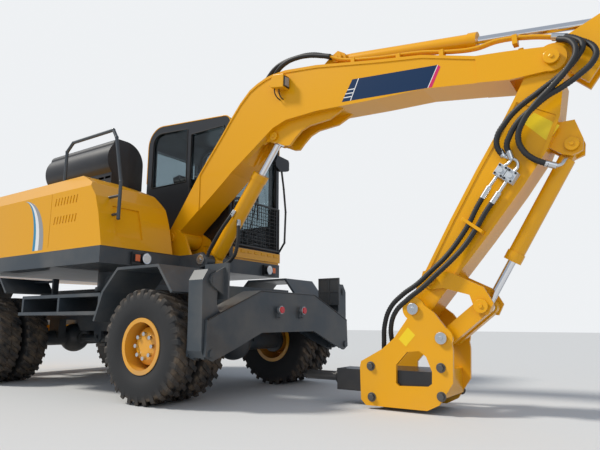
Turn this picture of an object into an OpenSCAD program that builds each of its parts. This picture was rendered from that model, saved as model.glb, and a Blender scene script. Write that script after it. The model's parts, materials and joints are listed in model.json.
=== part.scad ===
// Wheeled excavator with a side-plate breaker, in millimetres.
// +X runs along the boom, +Y is the cab side and +Z is up.
// The ground is z = 0, and x = 0 is the axle at the outrigger end.
// A side point is [x, z] and a cross point is [y, z].

/* [Wheels and axles] */
// Distance between the two axles
wheelbase = 2580; // [2560:10:2700]
// Width across the outer tyres
track_out = 2250; // [2200:10:2320]
// Outer diameter of a tyre
tyre_d = 900; // [860:10:920]
// Width of one tyre
tyre_w = 245; // [225:5:255]
// Gap between twin tyres
twin_gap = 45; // [35:5:60]
// Diameter of the bead seat
rim_d = 406; // [390:2:420]
// Radius of the axle tube
axle_r = 85; // [70:5:100]
// Radius of the axle's gear housing
diff_r = 170; // [150:5:180]

/* [Chassis] */
// Half width of the chassis box
frame_half = 300; // [270:5:320]
// Height of the chassis deck
frame_top = 1000; // [980:5:1010]
// Thickness of a bent fender plate
fender_t = 22; // [12:2:30]
// Radius of the slew ring
ring_r = 520; // [460:10:560]

/* [Outriggers] */
// Distance of a leg's pivot from the centre plane
leg_pivot_y = 1000; // [980:5:1010]
// Height of a leg's pivot
leg_pivot_z = 410; // [400:5:430]
// Height of the crossbeam's top
beam_top = 900; // [880:5:920]
// Thickness of a crossbeam plate
beam_t = 22; // [16:2:30]
// Width of a leg along the machine
leg_w = 144; // [130:2:146]

/* [Blade] */
// Width of the dozer blade
blade_w = 2220; // [2000:10:2240]
// Height of the dozer blade
blade_h = 520; // [460:10:540]

/* [Upper body] */
// Distance of the slew axis behind the outrigger axle
slew_back = 1290; // [1270:10:1310]
// Height of the underside of the upper frame
deck_low = 1150; // [1140:5:1160]
// Height of the dark skirt
skirt_h = 150; // [130:5:170]
// Height of the engine hood's top
hood_top = 2040; // [2000:10:2080]
// Swing radius of the counterweight
tail_r = 2050; // [2000:10:2080]
// Thickness of a hood wall
hood_t = 30; // [20:5:40]

/* [Cab] */
// Height of the cab roof's crest
cab_top = 2995; // [2960:5:3010]
// Width of the cab
cab_w = 900; // [880:10:910]
// Thickness of a cab wall
cab_t = 50; // [40:5:60]

/* [Boom and dipper] */
// Width of the boom
boom_w = 320; // [280:10:340]
// Width of the dipper
dipper_w = 260; // [240:5:280]
// Thickness of an ear plate
ear_t = 28; // [20:2:32]
// Radius of the main pins
pin_r = 35; // [30:1:40]

/* [Cylinders] */
// Outer radius of the boom cylinder
boom_cyl_r = 75; // [65:1:80]
// Outer radius of the dipper cylinder
arm_cyl_r = 60; // [52:1:66]
// Outer radius of the tool cylinder
tool_cyl_r = 55; // [48:1:60]
// Radial clearance of a rod in its gland
rod_gap = 0.5; // [0.3:0.1:0.8]
// Clearance beside a moving ear
side_gap = 6; // [5:1:8]

/* [Breaker] */
// Distance between the outer faces of the side plates
breaker_w = 440; // [420:5:460]
// Thickness of a side plate
plate_t = 25; // [20:1:30]
// Radius of the chisel
chisel_r = 37.5; // [32:0.5:40]

/* [Hidden] */
$fn = 48;
seat = 0.3;                      // gap of a seat between two pieces
tyre_r = tyre_d / 2;
axle_z = tyre_r;
axle_x = [0, -wheelbase];        // outrigger end, blade end
outer_y = (track_out - tyre_w) / 2;
inner_y = outer_y - tyre_w - twin_gap;
mid_y = (outer_y + inner_y) / 2;
rim_r = rim_d / 2;
hub_in = inner_y - tyre_w / 2 + 60;
kingpin_y = hub_in - 120;
kingpin_r = 28;
steer_rod_x = -diff_r - 50;      // steering cylinder's place beside the axle
slew_x = -slew_back;
arch = axle_z + diff_r + 40;     // chassis underside over an axle
belly = 540;                     // chassis underside between the axles
flange_x = diff_r + 14;          // flange of an axle's drive
ring_top = deck_low - 54;        // parting of the slew bearing
lash_x = [-900, -1700];          // lashing eyes, on both sides
lash_z = 480;
lash_r = 24;

blade_pivot = [-wheelbase - 340, 520];
blade_eye = [-wheelbase - 710, 560];
blade_base = [-wheelbase - 470, 880];
blade_cyl_y = 140;
boom_foot = [-720, 1500];
boom_tip = [2972, 2433];
dipper_tip = [1919, 733];
boom_base = [-280, 1240];        // lower pin of the boom cylinder
boom_rod = [540, 2378];
arm_base = [1235, 2985];
arm_rod = [3390, 2665];
tool_base = [3035, 1819];
tool_rod = [2393, 747];
link_pin = [2120, 527];
rocker_pin = [2030, 950];
deck_top = deck_low + skirt_h;
body_half = track_out / 2;
body_front = -580;               // front of the right body's skirt
cab_front = -290;
hood_seam = -1745;               // between the tank housing and the hood
housing_inner = -300;            // inner side of the tank housing
bracket_end = hub_in - 10;       // brackets that carry the steps
far = 4000;                      // longer than any cut

yellow = [0.93, 0.62, 0.05];
dark = [0.20, 0.23, 0.26];
black = [0.05, 0.05, 0.05];
rubber = [0.10, 0.10, 0.10];
steel = [0.75, 0.76, 0.78];

// Cylinder along Y
module ycyl(r, y0, y1) translate([0, y1, 0]) rotate([90, 0, 0]) cylinder(r = r, h = y1 - y0);
// Cylinder along X
module xcyl(r, x0, x1) translate([x0, 0, 0]) rotate([0, 90, 0]) cylinder(r = r, h = x1 - x0);
// Side outline of [x, z] points between two y values
module slab(y0, y1) translate([0, y1, 0]) rotate([90, 0, 0]) linear_extrude(y1 - y0) children();
// Cross outline of [y, z] points between two x values
module cross(x0, x1) translate([x0, 0, 0]) rotate([90, 0, 90]) linear_extrude(x1 - x0) children();
// Move to a side point
module at(p, y = 0) translate([p[0], y, p[1]]) children();
// Z axis turned from one side point towards another
module along(p, q) at(p) rotate([0, 90 - atan2(q[1] - p[1], q[0] - p[0]), 0]) children();
// Both sides of the centre plane
module both_sides() { children(); mirror([0, 1, 0]) children(); }
// One side of the centre plane: -1 is right, 1 is left
module side_of(s) scale([1, s, 1]) children();
function dist(p, q) = norm([q[0] - p[0], q[1] - p[1]]);
// Box between two corners
module block(a, b) translate(a) cube(b - a);
// Strip of even thickness along side points, between two y values
module bent_plate(points, t, y0, y1)
    for (i = [0 : len(points) - 2])
        let (p = points[i], q = points[i + 1], a = atan2(q[1] - p[1], q[0] - p[0]), l = dist(p, q))
            at(p, y0) rotate([0, -a, 0]) translate([0, 0, -t]) cube([l, y1 - y0, t]);

// Twin wheels

module tyre_ring(y) {
    w = tyre_w / 2;
    profile = [
        [rim_r, -w * 0.78], [rim_r, w * 0.78], [rim_r + 26, w * 0.80], [rim_r + 60, w * 0.95],
        [rim_r + 110, w], [tyre_r - 70, w * 0.98], [tyre_r - 26, w * 0.93], [tyre_r - 6, w * 0.84],
        [tyre_r, w * 0.66], [tyre_r, -w * 0.66], [tyre_r - 6, -w * 0.84], [tyre_r - 26, -w * 0.93],
        [tyre_r - 70, -w * 0.98], [rim_r + 110, -w], [rim_r + 60, -w * 0.95], [rim_r + 26, -w * 0.80]
    ];
    translate([0, y, 0]) rotate([90, 0, 0]) rotate_extrude() polygon(profile);
}

module tyres(end, s)
    color(rubber) translate([axle_x[end], 0, axle_z]) side_of(s) {
        tyre_ring(outer_y);
        tyre_ring(inner_y);
    }

// Radius and distance from the centre plane of the two rims and their hub
module rims(end, s) {
    seat_r = rim_r - seat;
    wall_r = rim_r - 16;
    flange_r = rim_r + 18;
    seat_half = tyre_w * 0.40;
    disc = 14;
    profile = [
        [0, hub_in], [120, hub_in], [120, mid_y - disc], [wall_r, mid_y - disc],
        [wall_r, inner_y - seat_half - 8], [flange_r, inner_y - seat_half - 8],
        [flange_r, inner_y - seat_half], [seat_r, inner_y - seat_half + 2],
        [seat_r, inner_y + seat_half - 2], [flange_r, inner_y + seat_half],
        [flange_r, inner_y + seat_half + 8], [seat_r - 4, inner_y + seat_half + 12],
        [seat_r - 4, outer_y - seat_half - 12], [flange_r, outer_y - seat_half - 8],
        [flange_r, outer_y - seat_half], [seat_r, outer_y - seat_half + 2],
        [seat_r, outer_y + seat_half - 2], [flange_r, outer_y + seat_half],
        [flange_r, outer_y + seat_half + 8], [wall_r, outer_y + seat_half + 8],
        [wall_r, mid_y + disc], [150, mid_y + disc], [146, outer_y + 20],
        [110, outer_y + 52], [60, outer_y + 60], [0, outer_y + 60]
    ];
    color(yellow) translate([axle_x[end], 0, axle_z]) side_of(s) difference() {
        rotate([-90, 0, 0]) rotate_extrude() polygon(profile);
        // Hand holes through the disc
        for (i = [0 : 5]) rotate([0, i * 60, 0]) translate([168, 0, 0]) ycyl(13, mid_y - 40, mid_y + 40);
    }
}

// Chassis

module chassis_frame() {
    back = -wheelbase - 420;
    front = 430;
    waist = 560;                      // half length of an arch
    outline = [
        [front, arch], [front, frame_top - 60], [-250, frame_top], [back + 300, frame_top],
        [back, frame_top - 60], [back, arch - 60], [-wheelbase - 180, arch], [-wheelbase + waist - 100, arch],
        [-wheelbase + waist, belly], [-waist, belly], [-waist + 100, arch]
    ];
    color(dark) {
        slab(-frame_half, frame_half) polygon(outline);
        // Deck plate and lower ring of the slew bearing
        translate([slew_x, 0, frame_top - 40]) cylinder(r = ring_r + 20, h = 40);
        translate([slew_x, 0, frame_top - 1]) cylinder(r = ring_r, h = ring_top - frame_top + 1);
        // Lashing eyes
        for (x = lash_x) both_sides() difference() {
            slab(frame_half - 25, frame_half) union() {
                translate([x - 60, lash_z]) square([120, belly + 1 - lash_z]);
                translate([x, lash_z]) circle(r = 60);
            }
            at([x, lash_z]) ycyl(lash_r, 0, frame_half + 10);
        }
        // Brackets of the step frames
        for (x = [-760, -1750]) both_sides() block([x - 40, frame_half - 5, 700], [x + 40, bracket_end, 800]);
        // Ears of the blade's cylinders
        both_sides() for (y = [blade_cyl_y - 46, blade_cyl_y + 28]) slab(y, y + 18) polygon([
            [back + 20, blade_base[1] - 42], [back + 20, frame_top - 60], blade_base + [-30, 40],
            blade_base + [-42, 0], blade_base + [-10, -42]
        ]);
        both_sides() at(blade_base) ycyl(18, blade_cyl_y - 46, blade_cyl_y + 46);
        // Lugs of the blade's arms
        both_sides() slab(frame_half - 60, frame_half - 20) polygon([
            blade_pivot + [-50, 0], blade_pivot + [-35, -40], blade_pivot + [35, -40],
            blade_pivot + [60, 160], blade_pivot + [-60, 160]
        ]);
        both_sides() at(blade_pivot) ycyl(26, frame_half - 70, frame_half + 26);
    }
}

beam_x = [460, 660];
leg_pin_r = 30;
beam_eye = [150, 690];           // inner pin of a leg's cylinder
leg_eye = [880, 600];            // outer pin of a leg's cylinder
foot_pin = [990, 950];

module crossbeam() {
    shoulder = [leg_pivot_y + 50, leg_pivot_z + 240];
    plate = [
        [leg_pivot_y + 60, leg_pivot_z - 20], shoulder, [410, beam_top], [-410, beam_top],
        [-shoulder[0], shoulder[1]], [-leg_pivot_y - 60, leg_pivot_z - 20],
        [-leg_pivot_y + 20, leg_pivot_z - 56], [-740, 430], [-400, 550], [400, 550], [740, 430],
        [leg_pivot_y - 20, leg_pivot_z - 56]
    ];
    fall = (beam_top - shoulder[1]) / (shoulder[0] - 410);
    color(dark) {
        for (x = [beam_x[0], beam_x[1] - beam_t]) cross(x, x + beam_t) polygon(plate);
        // Top plate with its sloped covers, and the core between the cylinders
        cross(beam_x[0] + 1, beam_x[1] - 1) polygon([
            [-410, beam_top], [410, beam_top], [880, beam_top - 470 * fall],
            [880, beam_top - 470 * fall - 22],
            [406, beam_top - 22], [-406, beam_top - 22], [-880, beam_top - 470 * fall - 22],
            [-880, beam_top - 470 * fall]
        ]);
        block([beam_x[0] + 1, -80, 552], [beam_x[1] - 1, 80, beam_top - 1]);
        // Web to the chassis
        block([430.3, -frame_half, 640], [beam_x[0] + 1, frame_half, beam_top]);
        // Pins of the legs and of their cylinders
        for (s = [-1, 1]) {
            translate([0, s * leg_pivot_y, leg_pivot_z]) xcyl(leg_pin_r, beam_x[0], beam_x[1] + 14);
            translate([0, s * beam_eye[0], beam_eye[1]]) xcyl(pin_r - 8, beam_x[0] + 1, beam_x[1] - 1);
        }
    }
}

module axle_fixed() color(dark) translate([axle_x[0], 0, axle_z]) {
    both_sides() ycyl(axle_r, 0, hub_in - seat);
    sphere(r = diff_r);
    both_sides() ycyl(axle_r + 35, hub_in - 30, hub_in - seat);
    axle_mounting(-1);
}

// Pads below the chassis and the flange that a shaft meets, on the given side along x
module axle_mounting(way) {
    both_sides() block([-100, 190, 0], [100, 280, arch - axle_z - seat]);
    scale([way, 1, 1]) xcyl(70, diff_r - 30, flange_x);
}

module axle_steered() color(dark) translate([axle_x[1], 0, axle_z]) {
    both_sides() ycyl(axle_r, 0, kingpin_y - 90);
    sphere(r = diff_r);
    // Fork plates round the kingpins
    both_sides() difference() {
        for (z = [-120, 90]) translate([0, 0, z]) {
            block([-60, kingpin_y - 130, 0], [60, kingpin_y, 30]);
            translate([0, kingpin_y, 0]) cylinder(r = 60, h = 30);
        }
        translate([0, kingpin_y, -150]) cylinder(r = kingpin_r + 0.5, h = 300);
    }
    both_sides() block([-60, kingpin_y - 130, -91], [60, kingpin_y - 100, 91]);
    axle_mounting(1);
    // Steering cylinder
    translate([steer_rod_x, 0, 20]) difference() {
        ycyl(45, -230, 230);
        ycyl(22.5, -300, 300);
    }
    block([-diff_r - 20, -60, 0], [-diff_r + 60, 60, 40]);
}

module steering_rod() color(steel) translate([axle_x[1] + steer_rod_x, 0, axle_z + 20])
    ycyl(22, -kingpin_y + 56, kingpin_y - 56);

module driveline() color(dark) {
    block([slew_x - 180, -170, 380], [slew_x + 180, 170, belly - seat]);
    translate([0, 0, axle_z]) {
        xcyl(42, slew_x + 179, axle_x[0] - flange_x - seat);
        xcyl(42, axle_x[1] + flange_x + seat, slew_x - 179);
    }
}

module knuckle() translate([axle_x[1], 0, axle_z]) {
    difference() {
        union() {
            block([-55, kingpin_y - 60, -89], [55, kingpin_y + 55, 89]);
            ycyl(axle_r, kingpin_y + 62, hub_in - seat);
            ycyl(50, kingpin_y, kingpin_y + 70);
        }
        translate([-100, kingpin_y - 200, -200]) cube([200, 130, 400]);
    }
    translate([0, kingpin_y, -130]) cylinder(r = kingpin_r, h = 260);
    // Steering arm
    block([steer_rod_x - 10, kingpin_y - 40, 0], [-40, kingpin_y, 30]);
}

module fender_strip(x, points, y1)
    translate([x, 0, 0]) bent_plate(points, fender_t, hub_in - 50, y1);

module fenders() {
    top = 1090;
    wide = track_out / 2 - 5;
    color(dark) {
        fender_strip(0, [[-620, 650], [-520, 900], [-330, top], [180, top], [350, 870]], wide);
        fender_strip(-wheelbase, [[-470, 900], [-330, top], [330, top], [470, 940]], wide);
        // Side step between the fenders
        near = bracket_end + seat;
        block([-1890, near, 700], [-620, wide - 30, 730]);
        block([-1890, near, 860], [-620, wide - 60, 890]);
        for (x = [-1890, -1270, -650]) block([x, near, 700], [x + 30, wide - 60, 890]);
        // Straps that carry the fenders
        strap = [near + 60, near + 120];
        block([-1890, strap[0], 889], [-1860, strap[1], top - 5]);
        block([-wheelbase + 300, strap[0], top - 40], [-1860, strap[1], top - fender_t + 1]);
        block([-650, strap[0], 880], [-500, strap[1], 900]);
    }
}

// Outriggers

leg_x = (beam_x[0] + beam_x[1]) / 2;
leg_low = leg_x - leg_w / 2;
leg_high = leg_x + leg_w / 2;

module leg() {
    outline = [
        [leg_pivot_y - 40, leg_pivot_z - 40], [leg_pivot_y + 40, leg_pivot_z - 40],
        [leg_pivot_y + 75, leg_pivot_z + 20],
        [leg_pivot_y + 85, foot_pin[1]], [foot_pin[0] + 40, foot_pin[1] + 80],
        [foot_pin[0] - 40, foot_pin[1] + 80],
        [foot_pin[0] - 70, foot_pin[1]], [leg_pivot_y - 75, leg_eye[1] + 160],
        [leg_eye[0] - 20, leg_eye[1] + 42],
        [leg_eye[0] - 45, leg_eye[1] - 10], [leg_eye[0], leg_eye[1] - 45]
    ];
    color(dark) difference() {
        cross(leg_low, leg_high) polygon(outline);
        translate([0, leg_pivot_y, leg_pivot_z]) xcyl(leg_pin_r + 0.5, leg_low - 5, leg_high + 5);
        // Slot that the cylinder's rod works in
        block([leg_x - 42, leg_eye[0] - 100, leg_pivot_z - 60],
            [leg_x + 42, leg_pivot_y + 45, leg_eye[1] + 150]);
    }
    color(dark) {
        translate([0, foot_pin[0], foot_pin[1]]) xcyl(24, leg_low - 32, leg_high + 32);
        translate([0, leg_eye[0], leg_eye[1]]) {
            xcyl(20, leg_low - 4, leg_x - 36);
            xcyl(20, leg_x + 36, leg_high + 4);
        }
    }
}

module foot() {
    sole_y = foot_pin[0] - 145;
    color(dark) {
        difference() {
            block([leg_x - 125, sole_y, foot_pin[1] - 140], [leg_x + 125, sole_y + 20, foot_pin[1] + 140]);
            // Pockets that leave a rim and a cross of ribs on the sole
            for (x = [leg_x - 113, leg_x + 8], z = [foot_pin[1] - 128, foot_pin[1] + 8])
                block([x, sole_y - 1, z], [x + 105, sole_y + 10, z + 120]);
        }
        for (x = [leg_low - side_gap - 14, leg_high + side_gap]) difference() {
            cross(x, x + 14) polygon([
                [sole_y + 19, foot_pin[1] - 110], [foot_pin[0] + 10, foot_pin[1] - 40],
                [foot_pin[0] + 40, foot_pin[1]],
                [foot_pin[0] + 20, foot_pin[1] + 40], [sole_y + 19, foot_pin[1] + 110]
            ]);
            translate([0, foot_pin[0], foot_pin[1]]) xcyl(24.5, x - 5, x + 25);
        }
        // Round bosses outside the ears
        for (x = [leg_low - side_gap - 22, leg_high + side_gap + 13]) difference() {
            translate([0, foot_pin[0], foot_pin[1]]) xcyl(38, x, x + 9);
            translate([0, foot_pin[0], foot_pin[1]]) xcyl(24.5, x - 1, x + 10);
        }
    }
}

module leg_side(p, q) translate([leg_x, p[0], p[1]]) rotate([-(90 - atan2(q[1] - p[1],
    q[0] - p[0])), 0, 0]) children();

module leg_barrel() color(yellow) difference() {
    union() {
        translate([0, beam_eye[0], beam_eye[1]]) xcyl(42, leg_x - 35, leg_x + 35);
        leg_side(beam_eye, leg_eye) translate([0, 0, 30]) cylinder(r = 40, h = 560);
    }
    translate([0, beam_eye[0], beam_eye[1]]) xcyl(pin_r - 7.5, leg_x - 60, leg_x + 60);
    leg_side(beam_eye, leg_eye) translate([0, 0, 70]) cylinder(r = 22 + rod_gap, h = 600);
}

module leg_rod() color(steel) {
    translate([0, leg_eye[0], leg_eye[1]]) xcyl(36, leg_x - 34, leg_x + 34);
    leg_side(beam_eye, leg_eye) translate([0, 0, 90]) cylinder(r = 22, h = dist(beam_eye, leg_eye) - 110);
}

// Blade

blade_x = -wheelbase - 895;

module blade() {
    low = 335;
    color(yellow) {
        difference() {
            slab(-blade_w / 2, blade_w / 2) polygon([
                [blade_x, low], [blade_x + 30, low - 4], [blade_x + 130, low + blade_h * 0.3],
                [blade_x + 130, low + blade_h * 0.7], [blade_x + 60, low + blade_h],
                [blade_x + 20, low + blade_h]
            ]);
            translate([blade_x - 420, 0, low + blade_h / 2]) ycyl(480, -blade_w, blade_w);
        }
        // Bolted cutting edge and the ribs behind the mouldboard
        slab(-blade_w / 2 - 10, blade_w / 2 + 10) polygon([
            [blade_x, low], [blade_x + 22, low - 4], [blade_x + 40, low + 110], [blade_x + 16, low + 110]
        ]);
        for (y = [-480, 480]) slab(y - 9, y + 9) polygon([
            [blade_x + 100, low + 90], [blade_x + 185, low + 150], [blade_x + 185, low + 370],
            [blade_x + 100, low + 440]
        ]);
        // Arms
        both_sides() difference() {
            slab(frame_half - 14, frame_half + 12) polygon([
                [blade_x + 128, low + 60], [blade_x + 128, low + 270],
                [blade_pivot[0] - 30, blade_pivot[1] + 60],
                [blade_pivot[0] + 50, blade_pivot[1] + 30], [blade_pivot[0] + 50, blade_pivot[1] - 50],
                [blade_pivot[0] - 30, blade_pivot[1] - 60]
            ]);
            at(blade_pivot) ycyl(26.5, 200, 400);
        }
        // Ears of the cylinders
        both_sides() for (y = [blade_cyl_y - 46, blade_cyl_y + 28]) slab(y, y + 18) polygon([
            [blade_x + 60, blade_eye[1] - 70], [blade_x + 60, blade_eye[1] + 90], blade_eye + [20, 45],
            blade_eye + [42, 0], blade_eye + [20, -40]
        ]);
    }
}

module blade_barrels() color(dark) both_sides() translate([0, blade_cyl_y, 0]) difference() {
    union() {
        at(blade_base) ycyl(40, -22, 22);
        along(blade_base, blade_eye) {
            translate([-30, -22, 0]) cube([60, 44, 65]);
            translate([0, 0, 60]) cylinder(r = 38, h = 250);
        }
    }
    at(blade_base) ycyl(18.5, -40, 40);
    along(blade_base, blade_eye) translate([0, 0, 70]) cylinder(r = 20 + rod_gap, h = 400);
}

module blade_rods() color(steel) both_sides() translate([0, blade_cyl_y, 0]) {
    at(blade_eye) ycyl(34, -22, 22);
    along(blade_base, blade_eye) translate([0, 0, 90]) cylinder(r = 20, h = dist(blade_base,
        blade_eye) - 110);
}

// Upper body

hood_back = -2740;
tail_x = slew_x - tail_r;

// Plan outline of the upper body inside the tail's swing
module tail_plan(x1) intersection() {
    translate([slew_x, 0]) circle(r = tail_r, $fn = 96);
    translate([-4000, -body_half]) square([4000 + x1, 2 * body_half]);
}

bay_half = boom_w / 2 + side_gap;  // half width of the boom's bay
module upper_frame() color(dark) {
    translate([0, 0, deck_low]) linear_extrude(skirt_h) difference() {
        union() {
            right_deck(body_front);
            left_deck(cab_front);
        }
        translate([hood_back, -body_half - 1]) mirror([1, 0]) square([far, 2 * body_half + 2]);
        // Bay of the boom's foot and its cylinder
        translate([-950, -bay_half]) square([far, 2 * bay_half]);
    }
    translate([slew_x, 0, ring_top + 0.5]) cylinder(r = ring_r, h = deck_low - ring_top);
    // Ears, bosses and pin of the boom cylinder's base
    both_sides() {
        slab(bay_half - 1, bay_half + ear_t) polygon([
            [body_front - 60, deck_low], [body_front - 60, deck_top], [-400, deck_top], boom_base + [10, 75],
            boom_base + [70, 20], boom_base + [60, -60], [-330, deck_low]
        ]);
        at(boom_base) ycyl(60, 52, bay_half + 1);
    }
    at(boom_base) ycyl(pin_r, -bay_half - ear_t - 4, bay_half + ear_t + 4);
}

// Plan outlines of the two sides of the deck, inside the tail's swing
module right_deck(front) intersection() {
    translate([slew_x, 0]) circle(r = tail_r, $fn = 96);
    translate([-far, -body_half]) square([far + front, body_half]);
}
module left_deck(front) intersection() {
    translate([slew_x, 0]) circle(r = tail_r, $fn = 96);
    translate([-far, 0]) square([far + front, body_half]);
}

// Plates that hold the boom's foot, on the deck between the tank housing and the cab
module boom_bracket() color(yellow) both_sides() difference() {
    union() {
        slab(bay_half + seat, bay_half + ear_t) polygon([
            [body_front + 150, deck_top + seat], [boom_foot[0] + 190, boom_foot[1] + 10],
            [boom_foot[0] + 80, boom_foot[1] + 80],
            [boom_foot[0] - 60, boom_foot[1] + 90], [boom_foot[0] - 700, deck_top + 90],
            [boom_foot[0] - 900, deck_top + seat]
        ]);
        at(boom_foot) ycyl(75, bay_half + seat, bay_half + ear_t + 3);
    }
    at(boom_foot) ycyl(pin_r + 0.5, 0, 400);
    // Pressed panel in the inner face
    slab(0, bay_half + 8) polygon([
        [body_front + 20, deck_top + 30], [body_front + 110, deck_top + 30],
        [boom_foot[0] + 185, boom_foot[1] - 60],
        [boom_foot[0] + 110, boom_foot[1] - 60]
    ]);
}

module counterweight() color(yellow) translate([0, 0, deck_low]) linear_extrude(hood_top - deck_low - 60)
    difference() {
        tail_plan(hood_back - seat);
        translate([hood_back - seat, -2000]) square([4000, 4000]);
    }

// Cross outline of the right side: upright wall, sloped shoulder, flat top and round inner corner
module side_profile(top, inner) {
    round_r = 330;
    intersection() {
        polygon([
            [-body_half, deck_top + seat], [-body_half, top - 170], [-body_half + 130, top],
            [inner, top], [inner, deck_top + seat]
        ]);
        union() {
            translate([-body_half, deck_top]) square([body_half + inner - round_r, top]);
            translate([-body_half, deck_top]) square([body_half + inner, top - deck_top - round_r]);
            translate([inner - round_r, top - round_r]) circle(r = round_r);
        }
    }
}

// Side outline of the housing's leaning front and rounded nose
housing_front = [[body_front + 10, deck_top], [-640, 1600], [-700, 1770], [-811, 1913], [-980, 1988],
    [-1110, hood_top]];
// Slots in the housing's side, with each row's middle height
slot_rows = [1775, 1595];
slot_x = [-1340, -1000];
module tank_housing() color(yellow) difference() {
    intersection() {
        cross(hood_seam, body_front + 10) side_profile(hood_top, housing_inner);
        slab(-body_half, 0) polygon(concat([[hood_seam, deck_top], [hood_seam, hood_top]], [
            for (i = [len(housing_front) - 1 : -1 : 0]) housing_front[i]
        ]));
    }
    for (z = slot_rows, i = [0 : 7])
        translate([slot_x[0] + i * (slot_x[1] - slot_x[0]) / 7, -body_half - 1, z - 38])
            rotate([0, 12, 0]) cube([14, 13, 76]);
    // Seam of the side door, and the shallow recess in the front
    block([-1403, -body_half - 1, deck_top + 40], [-1397, -body_half + 5, hood_top - 175]);
    translate([-608, -960, 1400]) rotate([0, -15, 0]) cube([60, 300, 300]);
}

module engine_hood() color(yellow) {
    lid_hinges();
    hood_walls();
}

module hood_walls() difference() {
    translate([0, 0, deck_top + seat]) linear_extrude(hood_top - deck_top) intersection() {
        tail_plan(hood_seam - seat);
        translate([hood_back, -body_half]) square([3000, 2 * body_half]);
    }
    // Sloped shoulders
    both_sides() translate([-4000, body_half, hood_top - 170]) rotate([37.4, 0, 0]) cube([4000, 400, 400]);
    // Engine bay, and the opening below the lid
    block([hood_back + hood_t, -body_half + 160, deck_top + 40],
        [bay_front, body_half - 160, hood_top - hood_t]);
    block([hood_back + hood_t, lid_y[0], hood_top - hood_t - 1], [bay_front, lid_y[1], hood_top + 50]);
}

bay_front = hood_seam - hood_t;
lid_y = [-170, body_half - 160];
lid_pin = [bay_front + 15, hood_top + 16];

// The hood's hinge pins, held by lugs beside the lid's knuckles
module lid_hinges() for (y = [lid_y[0] + 160, lid_y[1] - 160]) {
    at(lid_pin) ycyl(8, y - 60, y + 60);
    for (e = [y - 60, y + 44]) block([lid_pin[0] - 12, e, hood_top - 1],
        [lid_pin[0] + 12, e + 16, lid_pin[1] + 12]);
}

module hood_lid() {
    color(yellow) difference() {
        block([hood_back + hood_t + 5, lid_y[0] + 5, hood_top - 30], [bay_front - 5, lid_y[1] - 5, hood_top]);
        translate([0, 0, hood_top - 40]) block([hood_back + hood_t + 40, lid_y[0] + 40, 0],
            [bay_front - 60, lid_y[1] - 40, 34]);
    }
    color(dark) for (y = [lid_y[0] + 160, lid_y[1] - 160]) difference() {
        union() {
            at(lid_pin) ycyl(14, y - 40, y + 40);
            block([bay_front - 60, y - 40, hood_top - 1], [bay_front - 5, y + 40, hood_top + 9]);
            block([bay_front - 6, y - 40, hood_top + 2], [lid_pin[0], y + 40, hood_top + 9]);
        }
        at(lid_pin) ycyl(8.5, y - 50, y + 50);
    }
}

cover_x = [-2300, -1150];
cover_y = [-655, -262];
cover_z = [hood_top + seat, hood_top + 505];
// Slots through the cover's sides: rows of height, columns along x, every second row shifted
cover_slot = [92, 26];
module engine_cover() color(black) {
    t = 8;
    difference() {
        cross(cover_x[0], cover_x[1]) cover_cross(0);
        cross(cover_x[0] + t, cover_x[1] - t) cover_cross(t);
        for (row = [0 : 3], col = [0 : 3])
            translate([-1590 + col * 112 - (row % 2) * 40, cover_y[0] - 1, cover_z[0] + 70 + row * 66])
                cube([cover_slot[0], cover_y[1] - cover_y[0] + 2, cover_slot[1]]);
    }
    // Lifting loop on the roof
    loop = [[-1760, cover_z[1] - 3], [-1760, cover_z[1] + 62], [-1640, cover_z[1] + 62],
        [-1640, cover_z[1] - 3]];
    for (i = [0 : 2]) along3([loop[i][0], -470, loop[i][1]], [loop[i + 1][0], -470, loop[i + 1][1]], 7);
}
// Cross outline with a small outer and a large inner round
module cover_cross(inset) {
    y = [cover_y[0] + inset, cover_y[1] - inset];
    z = [cover_z[0] - 2 * inset, cover_z[1] - inset];
    small = 75 - inset;
    large = 225 - inset;
    translate([y[0], z[0]]) square([y[1] - y[0], z[1] - z[0] - large]);
    translate([y[0], z[0]]) square([small + 1, z[1] - z[0] - small]);
    translate([y[0] + small, z[0]]) square([y[1] - y[0] - small - large, z[1] - z[0]]);
    translate([y[0] + small, z[1] - small]) circle(r = small);
    translate([y[1] - large, z[1] - large]) circle(r = large);
}

engine_x = [-2640, -1900];
engine_half = 450;
module engine_block() color(dark)
    block([engine_x[0], -engine_half, deck_top + 40 + seat], [engine_x[1], engine_half, hood_top - 160]);

// Cab

cab_y0 = 205;
cab_y1 = cab_y0 + cab_w;
cab_back = -1640;
cab_low = deck_top + seat;
roof_fall = 5;                   // degrees that the roof falls towards the front
rear_r = 230;
front_r = 110;
sill_top = 1425;

// Side outline of the cab, smaller by an inset
module cab_outline(inset) {
    n = [sin(roof_fall), cos(roof_fall)];
    rear = [cab_back + rear_r, cab_top - rear_r];
    front_x = cab_front - front_r;
    front = [front_x, (n * rear + rear_r - front_r - n[0] * front_x) / n[1]];
    translate(rear) circle(r = rear_r - inset);
    translate(front) circle(r = front_r - inset);
    polygon([
        [cab_back + inset, cab_low + inset], [cab_back + inset, rear[1]], rear + n * (rear_r - inset),
        front + n * (front_r - inset), [cab_front - inset, front[1]], [cab_front - inset, cab_low + inset]
    ]);
}

door = [-1130, -360];            // x range of the door opening
door_z = [cab_low + 90, cab_top - 215];

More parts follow.
